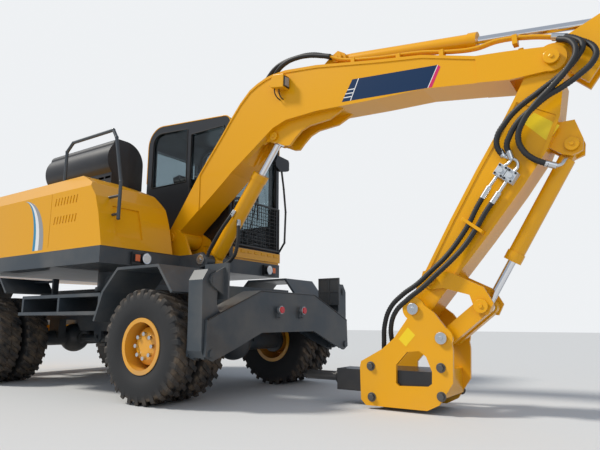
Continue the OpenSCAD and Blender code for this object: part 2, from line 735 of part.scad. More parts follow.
// Window openings [x or y from, to, z from, to]; the side ones keep inside the cab's outline
left_windows = [[-1560, -1180, 2020, 2900]];
right_windows = [[-1560, -960, 2230, 2900], [-900, -370, 1800, 2790]];
front_window = [cab_y0 + 60, cab_y1 - 60, 1480, 2790];
rear_window = [cab_y0 + 100, cab_y1 - 100, 2100, 2740];
module side_panes(windows, y0, y1, gap) for (w = windows) slab(y0, y1) intersection() {
    translate([w[0] + gap, w[2] + gap]) square([w[1] - w[0] - 2 * gap, w[3] - w[2] - 2 * gap]);
    cab_outline(85 + gap);
}
module end_pane(w, x0, x1, gap) block([x0, w[0] + gap, w[2] + gap], [x1, w[1] - gap, w[3] - gap]);

module cab_shell() color(black) {
    door_pins();
    cab_walls();
    // Step below the windscreen
    block([cab_front - 5, cab_y0, sill_top - 105], [cab_front + 24, cab_y1, sill_top]);
}

module cab_walls() difference() {
    slab(cab_y0, cab_y1) cab_outline(0);
    slab(cab_y0 + cab_t, cab_y1 - cab_t) cab_outline(cab_t);
    side_panes(left_windows, cab_y1 - 60, cab_y1 + 10, 0);
    block([door[0], cab_y1 - 60, door_z[0]], [door[1], cab_y1 + 10, door_z[1]]);
    side_panes(right_windows, cab_y0 - 10, cab_y0 + 60, 0);
    end_pane(front_window, cab_front - 60, cab_front + 10, 0);
    end_pane(rear_window, cab_back - 10, cab_back + 60, 0);
}

module cab_glass() color([0.5, 0.6, 0.65, 0.4]) {
    t = 6;
    side_panes(left_windows, cab_y1 - 30, cab_y1 - 30 + t, seat);
    side_panes(right_windows, cab_y0 + 20, cab_y0 + 20 + t, seat);
    end_pane(front_window, cab_front - 30, cab_front - 30 + t, seat);
    end_pane(rear_window, cab_back + 20, cab_back + 20 + t, seat);
}

door_hinge = [door[0] - 10, cab_y1 + 8.5];
module cab_door() color(black) {
    c = 5;
    difference() {
        block([door[0] + c, cab_y1 - 40, door_z[0] + c], [door[1] - c, cab_y1, door_z[1] - c]);
        block([door[0] + 80, cab_y1 - 60, 1780], [door[1] - 60, cab_y1 + 10, door_z[1] - 80]);
    }
    for (z = hinge_z) translate([door_hinge[0], door_hinge[1], z]) difference() {
        union() {
            cylinder(r = 8, h = 60);
            block([0, -4, 0], [60, 4, 60]);
            block([16, -12, 0], [60, 0, 60]);
        }
        translate([0, 0, -1]) cylinder(r = 4.5, h = 62);
    }
}
hinge_z = [1700, 2500];
// Pins and lower leaves of the door's hinges
module door_pins() for (z = hinge_z) translate([door_hinge[0], door_hinge[1], z - 30]) {
    cylinder(r = 4, h = 90);
    cylinder(r = 8, h = 29.5);
    block([-50, -9, 0], [0, 0, 29.5]);
}

module door_glass() color([0.5, 0.6, 0.65, 0.4])
    block([door[0] + 80 + seat, cab_y1 - 26, 1780 + seat],
        [door[1] - 60 - seat, cab_y1 - 20, door_z[1] - 80 - seat]);

// Mesh of thin bars in a pipe frame below the windscreen's middle
module window_guard() color(black) {
    x = cab_front + 34;
    y = [cab_y0 + 40, cab_y1 - 48];
    z = [sill_top + 31, 1956];
    for (h = z) translate([x, 0, h]) ycyl(12, y[0], y[1]);
    for (p = y) {
        translate([x, p, z[0]]) cylinder(r = 12, h = z[1] - z[0]);
        for (h = z) {
            translate([x, p, h]) sphere(r = 13);
            translate([0, p, h]) xcyl(10, cab_front + seat, x);
        }
    }
    rows = 6;
    for (i = [1 : rows - 1]) translate([x, 0, z[0] + i * (z[1] - z[0]) / rows]) ycyl(4, y[0], y[1]);
    columns = 10;
    for (i = [1 : columns - 1]) translate([x - 3, y[0] + i * (y[1] - y[0]) / columns,
        z[0]]) cylinder(r = 4, h = z[1] - z[0]);
}

module seat_and_levers() color(black) {
    floor_z = cab_low + cab_t + seat;
    y = (cab_y0 + cab_y1) / 2;
    block([-1250, y - 200, floor_z], [-900, y + 200, floor_z + 330]);
    block([-1300, y - 240, floor_z + 329], [-800, y + 240, floor_z + 430]);
    translate([-1290, y - 230, floor_z + 420]) rotate([0, -12, 0]) cube([110, 460, 640]);
    both_sides_about(y) block([-1200, y + 245, floor_z + 420], [-760, y + 330, floor_z + 560]);
    both_sides_about(y) block([-1200, y + 235, floor_z + 340], [-1000, y + 330, floor_z + 425]);
    // Steering column and wheel
    block([-550, y - 70, floor_z], [-410, y + 70, floor_z + 30]);
    translate([-480, y, floor_z + 15]) rotate([0, -12, 0]) {
        cylinder(r = 45, h = 640);
        translate([0, 0, 640]) difference() {
            cylinder(r = 190, h = 26);
            translate([0, 0, -1]) cylinder(r = 165, h = 28);
        }
        translate([-180, -16, 640]) cube([360, 32, 20]);
    }
}
module both_sides_about(y) { children(); translate([0, 2 * y, 0]) mirror([0, 1, 0]) children(); }

module handrails() color(dark) {
    r = 16;
    y = -body_half + 145;
    // Corners of the rail along x and z, from the front post's foot to the rear post's
    path = [[-550, 1560], [-545, 1900], [-650, 2345], [-705, 2430], [-1350, 2430], [-1450, 2350],
        [-1450, hood_top + seat + r + 2]];
    for (i = [0 : len(path) - 2]) along3([path[i][0], y, path[i][1]], [path[i + 1][0], y, path[i + 1][1]], r);
    translate([-1450, y, hood_top + seat]) cylinder(r = r + 2, h = 20);
    // Brackets on the housing's leaning front
    for (h = [[1600, -640], [1770, -700]]) translate([0, y, h[0]]) xcyl(r - 3, h[1] + 5, -548);
}

// Round bar between two points in space with a knuckle at its start
module along3(p, q, r) {
    d = q - p;
    l = norm(d);
    translate(p) {
        sphere(r = r + 2);
        rotate([0, acos(d[2] / l), atan2(d[1], d[0])]) cylinder(r = r, h = l);
    }
}

module mirrors() color(black) {
    // Foot on the step below the windscreen
    block([cab_front + seat, cab_y1 - 32, sill_top + seat], [cab_front + 24, cab_y1 - 2, sill_top + 14]);
    // Bowed pole from the cab's lower front corner
    path = [
        [cab_front + 15, cab_y1 - 16, sill_top + 16], [-190, cab_y1 - 14, 1560], [-175, cab_y1 - 14, 1930],
        [-175, 1050, 2206], [-160, 985, 2405]
    ];
    for (i = [0 : 3]) along3(path[i], path[i + 1], 12);
    // Head, outline along y and z
    cross(-180, -140) polygon([
        [835, 2490], [875, 2580], [1095, 2572], [1112, 2545], [1112, 2450], [1090, 2432], [960, 2400],
        [925, 2402],
        [850, 2440]
    ]);
}

// Lamp boxes with a round lens ring and an indicator, [x, y from, side of the lens]
module lamps() color(black) for (p = [[body_front + seat, -800, 1], [cab_front + seat, 800, -1]]) {
    block([p[0], p[1], deck_low + 12], [p[0] + 30, p[1] + 200, deck_low + 128]);
    translate([0, p[1] + 100 + p[2] * 40, deck_low + 70]) xcyl(50, p[0] + 29, p[0] + 62);
    block([p[0] + 29, p[1] + 70 - p[2] * 55, deck_low + 35],
        [p[0] + 50, p[1] + 130 - p[2] * 55, deck_low + 105]);
}

// Boom, dipper and linkage

// Distance along x from the foot pin, then the height of the lower and the upper edge
boom_stations = [
    // x, low, high
    [-80, 1440, 1560], [90, 1560, 1790], [350, 1760, 2150], [650, 1990, 2510], [760, 2080, 2650],
    [875, 2160, 2785], [996, 2244, 2893], [1090, 2310, 2938], [1194, 2383, 2972], [1275, 2440, 2983],
    [1430, 2490, 2985], [1770, 2500, 2938], [2360, 2465, 2813],
    [2760, 2450, 2737], [3180, 2385, 2600], [3400, 2348, 2570], [3692, 2345, 2520]
];
module boom_outline() {
    n = len(boom_stations);
    polygon(concat(
        [for (s = boom_stations) [boom_foot[0] + s[0], s[2]]],
        [for (i = [n - 1 : -1 : 0]) [boom_foot[0] + boom_stations[i][0], boom_stations[i][1]]]
    ));
}

// The side below the top plate's edge, from the third station to the fork
module boom_panel() {
    m = len(boom_stations) - 3;
    polygon(concat(
        [for (i = [2 : m]) [boom_foot[0] + boom_stations[i][0], boom_stations[i][2] - 26]],
        [for (i = [m : -1 : 2]) [boom_foot[0] + boom_stations[i][0], boom_stations[i][1] - 10]]
    ));
}

module boom() color(yellow) difference() {
    union() {
        slab(-boom_w / 2, boom_w / 2) union() {
            boom_outline();
            translate(boom_foot) circle(r = 95);
            translate(boom_tip) circle(r = 95);
        }
        // Faired plates and bosses that hold the boom cylinder's rod
        both_sides() slab(67, 67 + ear_t) union() {
            polygon([
                [440, 2345], [490, 2340], [581, 2302], [656, 2265], [715, 2257], [772, 2314], [844, 2374],
                [930, 2405], [1145, 2418], [1330, 2500], [1330, 2540], [600, 2560]
            ]);
            translate(boom_rod) circle(r = 62);
        }
        both_sides() at(boom_rod) ycyl(50, 52, 68);
        // Ears of the dipper cylinder's base
        both_sides() slab(48, 48 + ear_t) polygon([
            arm_base + [-200, -60], arm_base + [-70, 40], arm_base + [0, 75], arm_base + [70, 30],
            arm_base + [100, -130]
        ]);
        at(boom_foot) ycyl(pin_r, -bay_half - ear_t - 5, bay_half + ear_t + 5);
        at(arm_base) ycyl(30, -48 - ear_t - 12, 48 + ear_t + 12);
        stub_pins(boom_rod, pin_r, 53, 67 + ear_t + 12);
    }
    // Fork that the dipper works in
    slab(-dipper_w / 2 - side_gap, dipper_w / 2 + side_gap) union() {
        translate(boom_tip) circle(r = 300);
    }
    at(boom_tip) ycyl(pin_r + 0.5, -400, 400);
    // Room for the free eye of the boom cylinder
    at(boom_rod) ycyl(215, -51, 51);
    // Room for its rod at the boom's highest and for the barrel's head at its lowest
    slab(-51, 51) polygon([[165, 2140], [172, 2180], [362, 2462], [420, 2500], [560, 2400], [420, 2290]]);
    slab(-90, 90) polygon([[140, 2110], [190, 2177], [337, 2378], [400, 2345], [400, 2290]]);
    // Side plates stand back below the edge of the top plate
    both_sides() slab(boom_w / 2 - 8, boom_w / 2 + 1) boom_panel();
}

module stub_pins(p, r, y0, y1) both_sides() at(p) ycyl(r, y0, y1);

module dipper() {
    u = [boom_tip[0] - dipper_tip[0], boom_tip[1] - dipper_tip[1]] / dist(dipper_tip, boom_tip);
    n = [u[1], -u[0]];
    // Distance from the tip pin along the arm, then the offsets of the rear and the front edge
    stations = [
        // along, rear, front
        [-70, -40, 60], [60, -85, 95], [300, -90, 130], [700, -105, 190], [1100, -110, 240],
        [1400, -105, 265], [1650, -110, 230], [1900, -120, 130]
    ];
    m = len(stations);
    color(yellow) difference() {
        union() {
            slab(-dipper_w / 2, dipper_w / 2) union() {
                polygon(concat(
                    [for (s = stations) dipper_tip + u * s[0] + n * s[1]],
                    [for (i = [m - 1 : -1 : 0]) dipper_tip + u * stations[i][0] + n * stations[i][2]]
                ));
                translate(dipper_tip) circle(r = 75);
                translate(boom_tip) circle(r = 120);
            }
            // Ears of the dipper cylinder's rod
            both_sides() slab(50, 50 + ear_t) polygon([
                boom_tip + [-60, 110], arm_rod + [-60, 60], arm_rod + [10, 85], arm_rod + [85, 10],
                arm_rod + [60, -60], boom_tip + [200, -200], boom_tip
            ]);
            // Ears of the tool cylinder's base
            both_sides() slab(48, 48 + ear_t) polygon([
                tool_base + [-150, 10], tool_base + [-60, -60], tool_base + [-10, -75],
                tool_base + [60, -50], tool_base + [70, 30],
                tool_base + [30, 170], tool_base + [-100, 170]
            ]);
            at(boom_tip) ycyl(pin_r, -boom_w / 2 - 14, boom_w / 2 + 14);
            at(dipper_tip) ycyl(pin_r, -breaker_w / 2 - 12, breaker_w / 2 + 12);
            at(rocker_pin) ycyl(pin_r - 5, -dipper_w / 2 - 36, dipper_w / 2 + 36);
            at(tool_base) ycyl(28, -48 - ear_t - 12, 48 + ear_t + 12);
            stub_pins(arm_rod, 30, 51, 50 + ear_t + 12);
        }
        // Room for the free eye of the dipper cylinder
        at(arm_rod) ycyl(170, -49, 49);
        // Side plates stand back between the edges of the front and back plates
        both_sides() slab(dipper_w / 2 - 7, dipper_w / 2 + 1) polygon(concat(
            [for (i = [2 : 6]) dipper_tip + u * stations[i][0] + n * (stations[i][1] + 26)],
            [for (i = [6 : -1 : 2]) dipper_tip + u * stations[i][0] + n * (stations[i][2] - 26)]
        ));
    }
}

// Barrel of a cylinder in the centre plane
module barrel(p, q, r, rod_r, l, eye_half, base_r, start) difference() {
    union() {
        at(p) ycyl(r * 0.95, -eye_half, eye_half);
        along(p, q) {
            // Flat neck between the ears of the base
            translate([-0.72 * r, -eye_half + 1, 0]) cube([1.44 * r, 2 * eye_half - 2, start + 10]);
            translate([0, 0, start]) cylinder(r = r, h = l - start);
            translate([0, 0, l - 70]) cylinder(r = r + 7, h = 70);
        }
    }
    along(p, q) translate([0, 0, start + r]) cylinder(r = rod_r + rod_gap, h = l);
    at(p) ycyl(base_r + 0.5, -eye_half - 1, eye_half + 1);
}
// Rod of a cylinder, with the length that stays inside the barrel
module rod(p, q, rod_r, l, inside, eye_r, eye_half) {
    along(p, q) translate([0, 0, l - inside]) cylinder(r = rod_r, h = dist(p, q) - l + inside - eye_r * 0.5);
    at(q) ycyl(eye_r, -eye_half, eye_half);
}

module boom_barrel() color(yellow) barrel(boom_base, boom_rod, boom_cyl_r, 35, 1012, 45, pin_r, 78);
module boom_rod_shaft() color(steel) rod(boom_base, boom_rod, 35, 1012, 430, 62, 45);
module arm_barrel() color(yellow) barrel(arm_base, arm_rod, arm_cyl_r, 30, 1225, 42, 30, 102);
module arm_rod_shaft() color(steel) rod(arm_base, arm_rod, 30, 1225, 170, 52, 42);
module tool_barrel() color(yellow) barrel(tool_base, tool_rod, tool_cyl_r, 28, 883, 42, 28, 92);
module tool_rod_shaft() color(steel) rod(tool_base, tool_rod, 28, 883, 350, 46, 40);

module rocker() {
    y = dipper_w / 2 + side_gap;
    color(yellow) both_sides() difference() {
        slab(y, y + 22) polygon([
            rocker_pin + [-75, -20], rocker_pin + [-50, 60], rocker_pin + [30, 75], rocker_pin + [180, 30],
            tool_rod + [20, 130], tool_rod + [80, 20], tool_rod + [40, -60], tool_rod + [-40, -50],
            tool_rod + [-80, 80], rocker_pin + [100, -70], rocker_pin + [0, -75]
        ]);
        at(rocker_pin) ycyl(pin_r - 4.5, 0, 300);
    }
    color(steel) both_sides() at(tool_rod) ycyl(30, 44, y + 36);
}

module h_link() color(yellow) both_sides() {
    y0 = 50;
    y1 = dipper_w / 2 - 4;
    difference() {
        slab(y0, y1) union() {
            translate(tool_rod) circle(r = 55);
            translate(link_pin) circle(r = 55);
            polygon([tool_rod + [-30, 45], tool_rod + [35, -45], link_pin + [35, -45], link_pin + [-35, 45]]);
        }
        at(tool_rod) ycyl(30.5, 0, 300);
    }
}

// Breaker

module plate_outline() difference() {
    union() {
        polygon([
            [1850, 640], [1759, 522], [1659, 440], [1481, 345], [1471, 308], [1474, 66], [1515, 26],
            [1991, 26], [2080, 70], [2184, 221], [2196, 442], [2180, 560], [2073, 703], [1960, 790]
        ]);
        translate(dipper_tip) circle(r = 85);
        translate(link_pin) circle(r = 78);
    }
    // Window
    polygon([
        [1768, 329], [1857, 424], [1949, 434], [2000, 394], [2039, 293], [2035, 211],
        [2005, 189], [1786, 181], [1763, 201]
    ]);
}

module breaker_plates() {
    y = breaker_w / 2;
    color(yellow) {
        both_sides() difference() {
            slab(y - plate_t, y) plate_outline();
            at(dipper_tip) ycyl(pin_r + 0.5, 0, 400);
        }
        // Bosses that take up the width at the pins
        both_sides() at(dipper_tip) difference() {
            ycyl(70, dipper_w / 2 + side_gap + 24, y - plate_t + 1);
            ycyl(pin_r + 0.5, 0, 400);
        }
        // Cross plate behind the breaker
        block([2100, -y + plate_t - 1, 120], [2125, y - plate_t + 1, 300]);
        both_sides() at(link_pin) ycyl(30, dipper_w / 2, y + 12);
    }
}

module breaker_body() color(black) {
    y = breaker_w / 2 - plate_t - seat;
    block([1500, -y, 108], [2099.7, y, 289]);
    block([1205, -110, 108], [1501, 110, 272]);
    along([1160, 200], [1206, 200]) cylinder(r = 60, h = 46);
}

module chisel() color(steel) {
    along([860, 200], [1159.7, 200]) cylinder(r = chisel_r, h = 299.7);
    along([800, 200], [861, 200]) cylinder(r1 = 6, r2 = chisel_r, h = 61);
}

// Named by end of the chassis and by side

chassis_frame();
crossbeam();
axle_fixed();
axle_steered();
driveline();
side_of(-1) fenders();  // fenders_right
fenders();  // fenders_left
color(dark) side_of(-1) knuckle();  // knuckle_right
color(dark) knuckle();  // knuckle_left
steering_rod();
rims(0, -1);  // rims_fixed_right
rims(0, 1);  // rims_fixed_left
rims(1, -1);  // rims_steered_right
rims(1, 1);  // rims_steered_left
tyres(0, -1);  // tyres_fixed_right
tyres(0, 1);  // tyres_fixed_left
tyres(1, -1);  // tyres_steered_right
tyres(1, 1);  // tyres_steered_left
side_of(-1) leg();  // leg_right
leg();  // leg_left
side_of(-1) foot();  // foot_right
foot();  // foot_left
side_of(-1) leg_barrel();  // leg_barrel_right
leg_barrel();  // leg_barrel_left
side_of(-1) leg_rod();  // leg_rod_right
leg_rod();  // leg_rod_left
blade();
blade_barrels();
blade_rods();
upper_frame();
boom_bracket();
counterweight();
tank_housing();
engine_hood();
engine_cover();
engine_block();
hood_lid();
cab_shell();
cab_glass();
cab_door();
door_glass();
window_guard();
seat_and_levers();
handrails();
mirrors();
lamps();
boom();
boom_barrel();
boom_rod_shaft();
dipper();
arm_barrel();
arm_rod_shaft();
tool_barrel();
tool_rod_shaft();
rocker();
h_link();
breaker_plates();
breaker_body();
chisel();
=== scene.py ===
import json
import math

import bmesh
import bpy
from mathutils import Matrix, Vector

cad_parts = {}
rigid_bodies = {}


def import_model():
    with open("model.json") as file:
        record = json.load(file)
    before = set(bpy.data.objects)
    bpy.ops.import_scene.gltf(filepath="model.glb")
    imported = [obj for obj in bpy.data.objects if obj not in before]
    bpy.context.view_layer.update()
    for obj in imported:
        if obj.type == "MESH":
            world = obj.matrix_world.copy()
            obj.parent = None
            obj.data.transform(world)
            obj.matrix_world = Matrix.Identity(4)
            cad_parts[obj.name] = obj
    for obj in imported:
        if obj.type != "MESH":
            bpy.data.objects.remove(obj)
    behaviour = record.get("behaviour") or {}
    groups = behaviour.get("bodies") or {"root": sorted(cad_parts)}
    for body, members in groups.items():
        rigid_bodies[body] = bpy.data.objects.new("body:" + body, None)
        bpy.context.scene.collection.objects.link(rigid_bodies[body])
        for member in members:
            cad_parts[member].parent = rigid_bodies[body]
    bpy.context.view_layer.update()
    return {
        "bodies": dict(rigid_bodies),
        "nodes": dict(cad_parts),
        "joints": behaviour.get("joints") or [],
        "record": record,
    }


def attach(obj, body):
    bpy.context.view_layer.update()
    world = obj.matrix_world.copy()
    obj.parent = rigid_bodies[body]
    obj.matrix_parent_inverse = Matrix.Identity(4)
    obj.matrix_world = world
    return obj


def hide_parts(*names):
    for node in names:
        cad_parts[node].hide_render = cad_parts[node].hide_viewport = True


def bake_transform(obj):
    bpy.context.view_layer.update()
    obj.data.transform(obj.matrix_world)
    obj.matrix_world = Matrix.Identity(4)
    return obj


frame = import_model()
nodes = frame["nodes"]
print("frame loaded,", len(nodes), "nodes")

# camera and light

camera = {
    "place": (3.387, -3.881, 0.646),
    "azimuth": 34.0,
    "pitch": 10.46,
    "focalPixels": 520,
    "photoWidth": 600,
    "sensorWidth": 36,
    "farClip": 200,
}

light = {
    "skyStrength": 0.52,
    "skyColor": (0.8, 0.88, 1.0),
    "backdrop": (0.86, 0.88, 0.9),
    "sunStrength": 2.9,
    "sunAngle": 9,
    "sunFrom": (-0.62, -0.42, 0.8),
    "sunColor": (1.0, 0.95, 0.86),
    "fillStrength": 85,
    "fillSize": 5,
    "fillPlace": (5.5, -6.5, 4.5),
    "fillAim": (0.5, 0, 1.3),
}

floorLook = {"size": 60, "color": (0.6, 0.61, 0.62), "rough": 0.9}


def addObject(name, data):
    thing = bpy.data.objects.new(name, data)
    bpy.context.scene.collection.objects.link(thing)
    return thing


def feed(tree, node, inputs):
    # inputs go by name or number, and each is a value or the output of another node
    for key, value in inputs.items():
        if isinstance(value, bpy.types.NodeSocket):
            tree.links.new(value, node.inputs[key])
        else:
            node.inputs[key].default_value = value


def addNode(tree, kind, inputs=None, **settings):
    node = tree.nodes.new(kind)
    for key, value in settings.items():
        setattr(node, key, value)
    feed(tree, node, inputs or {})
    return node.outputs


def addMath(tree, operation, *terms):
    return addNode(tree, "ShaderNodeMath", dict(enumerate(terms)), operation=operation)[0]


def makeCamera():
    data = bpy.data.cameras.new("camera")
    data.sensor_width = camera["sensorWidth"]
    data.lens = data.sensor_width * camera["focalPixels"] / camera["photoWidth"]
    data.clip_end = camera["farClip"]
    shot = addObject("camera", data)
    shot.location = camera["place"]
    shot.rotation_euler = (math.radians(90 + camera["pitch"]), 0, math.radians(camera["azimuth"]))
    bpy.context.scene.camera = shot


def makeSky():
    # the camera, also through glass, sees the plain backdrop; the object is lit by the sky
    world = bpy.data.worlds.new("sky")
    bpy.context.scene.world = world
    world.use_nodes = True
    tree = world.node_tree
    tree.nodes.clear()
    rays = addNode(tree, "ShaderNodeLightPath")
    seen = addMath(tree, "MAXIMUM", rays["Is Camera Ray"], rays["Is Transmission Ray"])
    sky = {"Color": (*light["skyColor"], 1), "Strength": light["skyStrength"]}
    backdrop = {"Color": (*light["backdrop"], 1), "Strength": 1.0}
    dark, pale = [addNode(tree, "ShaderNodeBackground", look)[0] for look in (sky, backdrop)]
    mix = addNode(tree, "ShaderNodeMixShader", {0: seen, 1: dark, 2: pale})
    addNode(tree, "ShaderNodeOutputWorld", {0: mix[0]})


def makeLight():
    sunData = bpy.data.lights.new("sun", "SUN")
    sunData.energy = light["sunStrength"]
    sunData.angle = math.radians(light["sunAngle"])
    sunData.color = light["sunColor"]
    sun = addObject("sun", sunData)
    sun.rotation_euler = Vector(light["sunFrom"]).to_track_quat("Z", "Y").to_euler()
    fillData = bpy.data.lights.new("fill", "AREA")
    fillData.energy = light["fillStrength"]
    fillData.size = light["fillSize"]
    fill = addObject("fill", fillData)
    fill.location = light["fillPlace"]
    fill.rotation_euler = (fill.location - Vector(light["fillAim"])).to_track_quat("Z", "Y").to_euler()
    bpy.context.scene.view_settings.view_transform = "Standard"


def makeFloor():
    half = floorLook["size"] / 2
    mesh = bpy.data.meshes.new("floor")
    corners = [(-half, -half, 0), (half, -half, 0), (half, half, 0), (-half, half, 0)]
    mesh.from_pydata(corners, [], [(0, 1, 2, 3)])
    floor = addObject("floor", mesh)
    look = bpy.data.materials.new("floorLook")
    look.use_nodes = True
    shader = look.node_tree.nodes["Principled BSDF"]
    feed(look.node_tree, shader, {"Base Color": (*floorLook["color"], 1), "Roughness": floorLook["rough"]})
    mesh.materials.append(look)


makeCamera()
makeSky()
makeLight()
makeFloor()
print("camera, light and floor made")

# finishes


def newGroup(name, inputs, outputs):
    group = bpy.data.node_groups.new(name, "ShaderNodeTree")
    for label, kind, value in inputs:
        socket = group.interface.new_socket(label, in_out="INPUT", socket_type=f"NodeSocket{kind}")
        socket.default_value = value
    for label, kind in outputs:
        group.interface.new_socket(label, in_out="OUTPUT", socket_type=f"NodeSocket{kind}")
    return group, addNode(group, "NodeGroupInput")


def mixColors(tree, share, first, second):
    # first and second are each a colour or the output of a node
    colors = [(*color, 1) if isinstance(color, tuple) else color for color in (first, second)]
    return addNode(tree, "ShaderNodeMix", {"Factor": share, 6: colors[0], 7: colors[1]}, data_type="RGBA")[2]


def addPatches(tree, place, scale, look):
    # cloudy patches, from 0 to 1
    cloud = addNode(tree, "ShaderNodeTexNoise", {"Vector": place, "Scale": scale, "Detail": look["detail"]})
    limits = {"Value": cloud["Fac"], "From Min": look["low"], "From Max": look["high"]}
    return addNode(tree, "ShaderNodeMapRange", limits)[0]


dustCloud = {"detail": 6, "low": 0.38, "high": 0.72, "topShare": 0.16, "rough": 0.9}


def makeDustGroup():
    # dust gathers low down and in cloudy patches
    group, entry = newGroup(
        "roadDust",
        [
            ("Paint Color", "Color", (0.5, 0.5, 0.5, 1)),
            ("Dust Color", "Color", (0.3, 0.26, 0.21, 1)),
            ("Amount", "Float", 0.3),
            ("Patch Scale", "Float", 3.0),
            ("Clean Height", "Float", 1.6),
            ("Paint Roughness", "Float", 0.35),
        ],
        [("Color", "Color"), ("Roughness", "Float")],
    )
    place = addNode(group, "ShaderNodeTexCoord")["Object"]
    height = addNode(
        group, "ShaderNodeMapRange",
        {
            "Value": addNode(group, "ShaderNodeSeparateXYZ", {0: place})["Z"],
            "From Min": 0, "From Max": entry["Clean Height"], "To Min": 1.0, "To Max": dustCloud["topShare"],
        },
    )
    cloud = addPatches(group, place, entry["Patch Scale"], dustCloud)
    lowPatches = addMath(group, "MULTIPLY", height[0], cloud)
    dusty = addNode(
        group, "ShaderNodeMath", {0: lowPatches, 1: entry["Amount"]}, operation="MULTIPLY", use_clamp=True,
    )[0]
    rough = addNode(
        group, "ShaderNodeMix", {"Factor": dusty, 2: entry["Paint Roughness"], 3: dustCloud["rough"]},
    )[0]
    color = mixColors(group, dusty, entry["Paint Color"], entry["Dust Color"])
    addNode(group, "NodeGroupOutput", {"Color": color, "Roughness": rough})
    return group


def makeGrainGroup():
    group, entry = newGroup(
        "castGrain",
        [("Scale", "Float", 60.0), ("Strength", "Float", 0.3), ("Distance", "Float", 0.002)],
        [("Normal", "Vector")],
    )
    place = addNode(group, "ShaderNodeTexCoord")["Object"]
    grain = addNode(
        group, "ShaderNodeTexNoise", {"Vector": place, "Scale": entry["Scale"], "Detail": 4},
    )["Fac"]
    heights = {"Strength": entry["Strength"], "Distance": entry["Distance"], "Height": grain}
    addNode(group, "NodeGroupOutput", {"Normal": addNode(group, "ShaderNodeBump", heights)[0]})
    return group


dustGroup = makeDustGroup()
grainGroup = makeGrainGroup()

# colour is linear; dust is how much gathers, clean the height where it fades out
# glass is the index of refraction
finishes = {
    "yellowPaint": {
        "color": (0.8, 0.375, 0.0025), "rough": 0.3, "coat": 0.25, "gloss": 0.3, "dust": 0.1, "clean": 1.2,
        "grain": 0.03,
    },
    "chassisPaint": {
        "color": (0.04, 0.052, 0.064), "rough": 0.42, "coat": 0.15, "dust": 0.3, "clean": 2.4, "grain": 0.08,
    },
    "blackPaint": {
        "color": (0.012, 0.013, 0.016), "rough": 0.38, "coat": 0.2, "dust": 0.12, "clean": 3.0, "grain": 0.08,
    },
    "tyreRubber": {"color": (0.014, 0.015, 0.017), "rough": 0.72, "grain": 0.25},
    "rimPaint": {
        "color": (0.8, 0.36, 0.006), "rough": 0.35, "coat": 0.3, "dust": 0.45, "clean": 1.4, "grain": 0.05,
    },
    "hoseRubber": {"color": (0.012, 0.013, 0.015), "rough": 0.55, "grain": 0.25},
    "chrome": {"color": (0.78, 0.79, 0.82), "rough": 0.1, "metal": 1.0},
    "zincSteel": {"color": (0.62, 0.64, 0.66), "rough": 0.3, "metal": 1.0, "grain": 0.1},
    "forgedSteel": {"color": (0.16, 0.155, 0.15), "rough": 0.42, "metal": 1.0, "grain": 0.3},
    "valveGrey": {"color": (0.52, 0.56, 0.6), "rough": 0.4, "grain": 0.1},
    "castIron": {"color": (0.03, 0.031, 0.033), "rough": 0.65, "grain": 0.5},
    "seatVinyl": {"color": (0.018, 0.018, 0.019), "rough": 0.6, "grain": 0.3},
    "wireBlack": {"color": (0.016, 0.017, 0.019), "rough": 0.45},
    # dark seals and bolts; also worn by the painted shade at the bottoms of the housing's slots and seam
    "blackTrimAndShade": {"color": (0.008, 0.008, 0.009), "rough": 0.7},
    "navyFilm": {"color": (0.008, 0.032, 0.09), "rough": 0.34, "gloss": 0.2},
    "whiteFilm": {"color": (0.8, 0.8, 0.8), "rough": 0.35},
    "magentaFilm": {"color": (0.62, 0.01, 0.115), "rough": 0.35},
    "greyFilm": {"color": (0.3, 0.31, 0.33), "rough": 0.35},
    "blueFilm": {"color": (0.03, 0.25, 0.42), "rough": 0.35},
    "signYellow": {"color": (0.88, 0.62, 0.01), "rough": 0.4},
    "lampSilver": {"color": (0.85, 0.86, 0.88), "rough": 0.12, "metal": 1.0},
    "orangeLens": {"color": (0.9, 0.16, 0.01), "rough": 0.15, "coat": 0.6},
    "redLens": {"color": (0.6, 0.012, 0.02), "rough": 0.15, "coat": 0.6},
    "whiteLens": {"color": (0.9, 0.91, 0.89), "rough": 0.12, "coat": 0.8},
    "mirrorGlass": {"color": (0.86, 0.88, 0.9), "rough": 0.03, "metal": 1.0},
    "tintedGlass": {"color": (0.4, 0.47, 0.5), "rough": 0.02, "coat": 0.6, "glass": 1.1},
}
materials = {}


def makeFinish(name, look):
    material = bpy.data.materials.new(name)
    material.use_nodes = True
    tree = material.node_tree
    shader = tree.nodes["Principled BSDF"]
    color = {"Base Color": (*look["color"], 1), "Roughness": look["rough"]}
    shine = {"Metallic": look.get("metal", 0.0), "Coat Weight": look.get("coat", 0.0)}
    feed(tree, shader, {**color, **shine, "Specular IOR Level": look.get("gloss", 0.5)})
    if "glass" in look:
        feed(tree, shader, {"Transmission Weight": 1.0, "IOR": look["glass"]})
    if "dust" in look:
        paint = {"Paint Color": color["Base Color"], "Paint Roughness": look["rough"]}
        amounts = {"Amount": look["dust"], "Clean Height": look["clean"], "Patch Scale": 3.0}
        dust = addNode(tree, "ShaderNodeGroup", {**paint, **amounts}, node_tree=dustGroup)
        feed(tree, shader, {"Base Color": dust["Color"], "Roughness": dust["Roughness"]})
    if "grain" in look:
        grain = addNode(tree, "ShaderNodeGroup", {"Strength": look["grain"]}, node_tree=grainGroup)
        feed(tree, shader, {"Normal": grain["Normal"]})
    return material


for finishName, finishLook in finishes.items():
    materials[finishName] = makeFinish(finishName, finishLook)

cabColors = {
    "sillTop": 1.426,
    "beltLine": 1.98,
    "rightFace": 0.262,
    "roofTilt": 0.6,
    "leftFace": 1.095,
    "frontFace": -0.318,
    "middle": (-0.95, 0.655, 2.15),
    "yellow": finishes["yellowPaint"]["color"],
    "black": (0.012, 0.013, 0.016),
    "lining": (0.055, 0.058, 0.062),
}


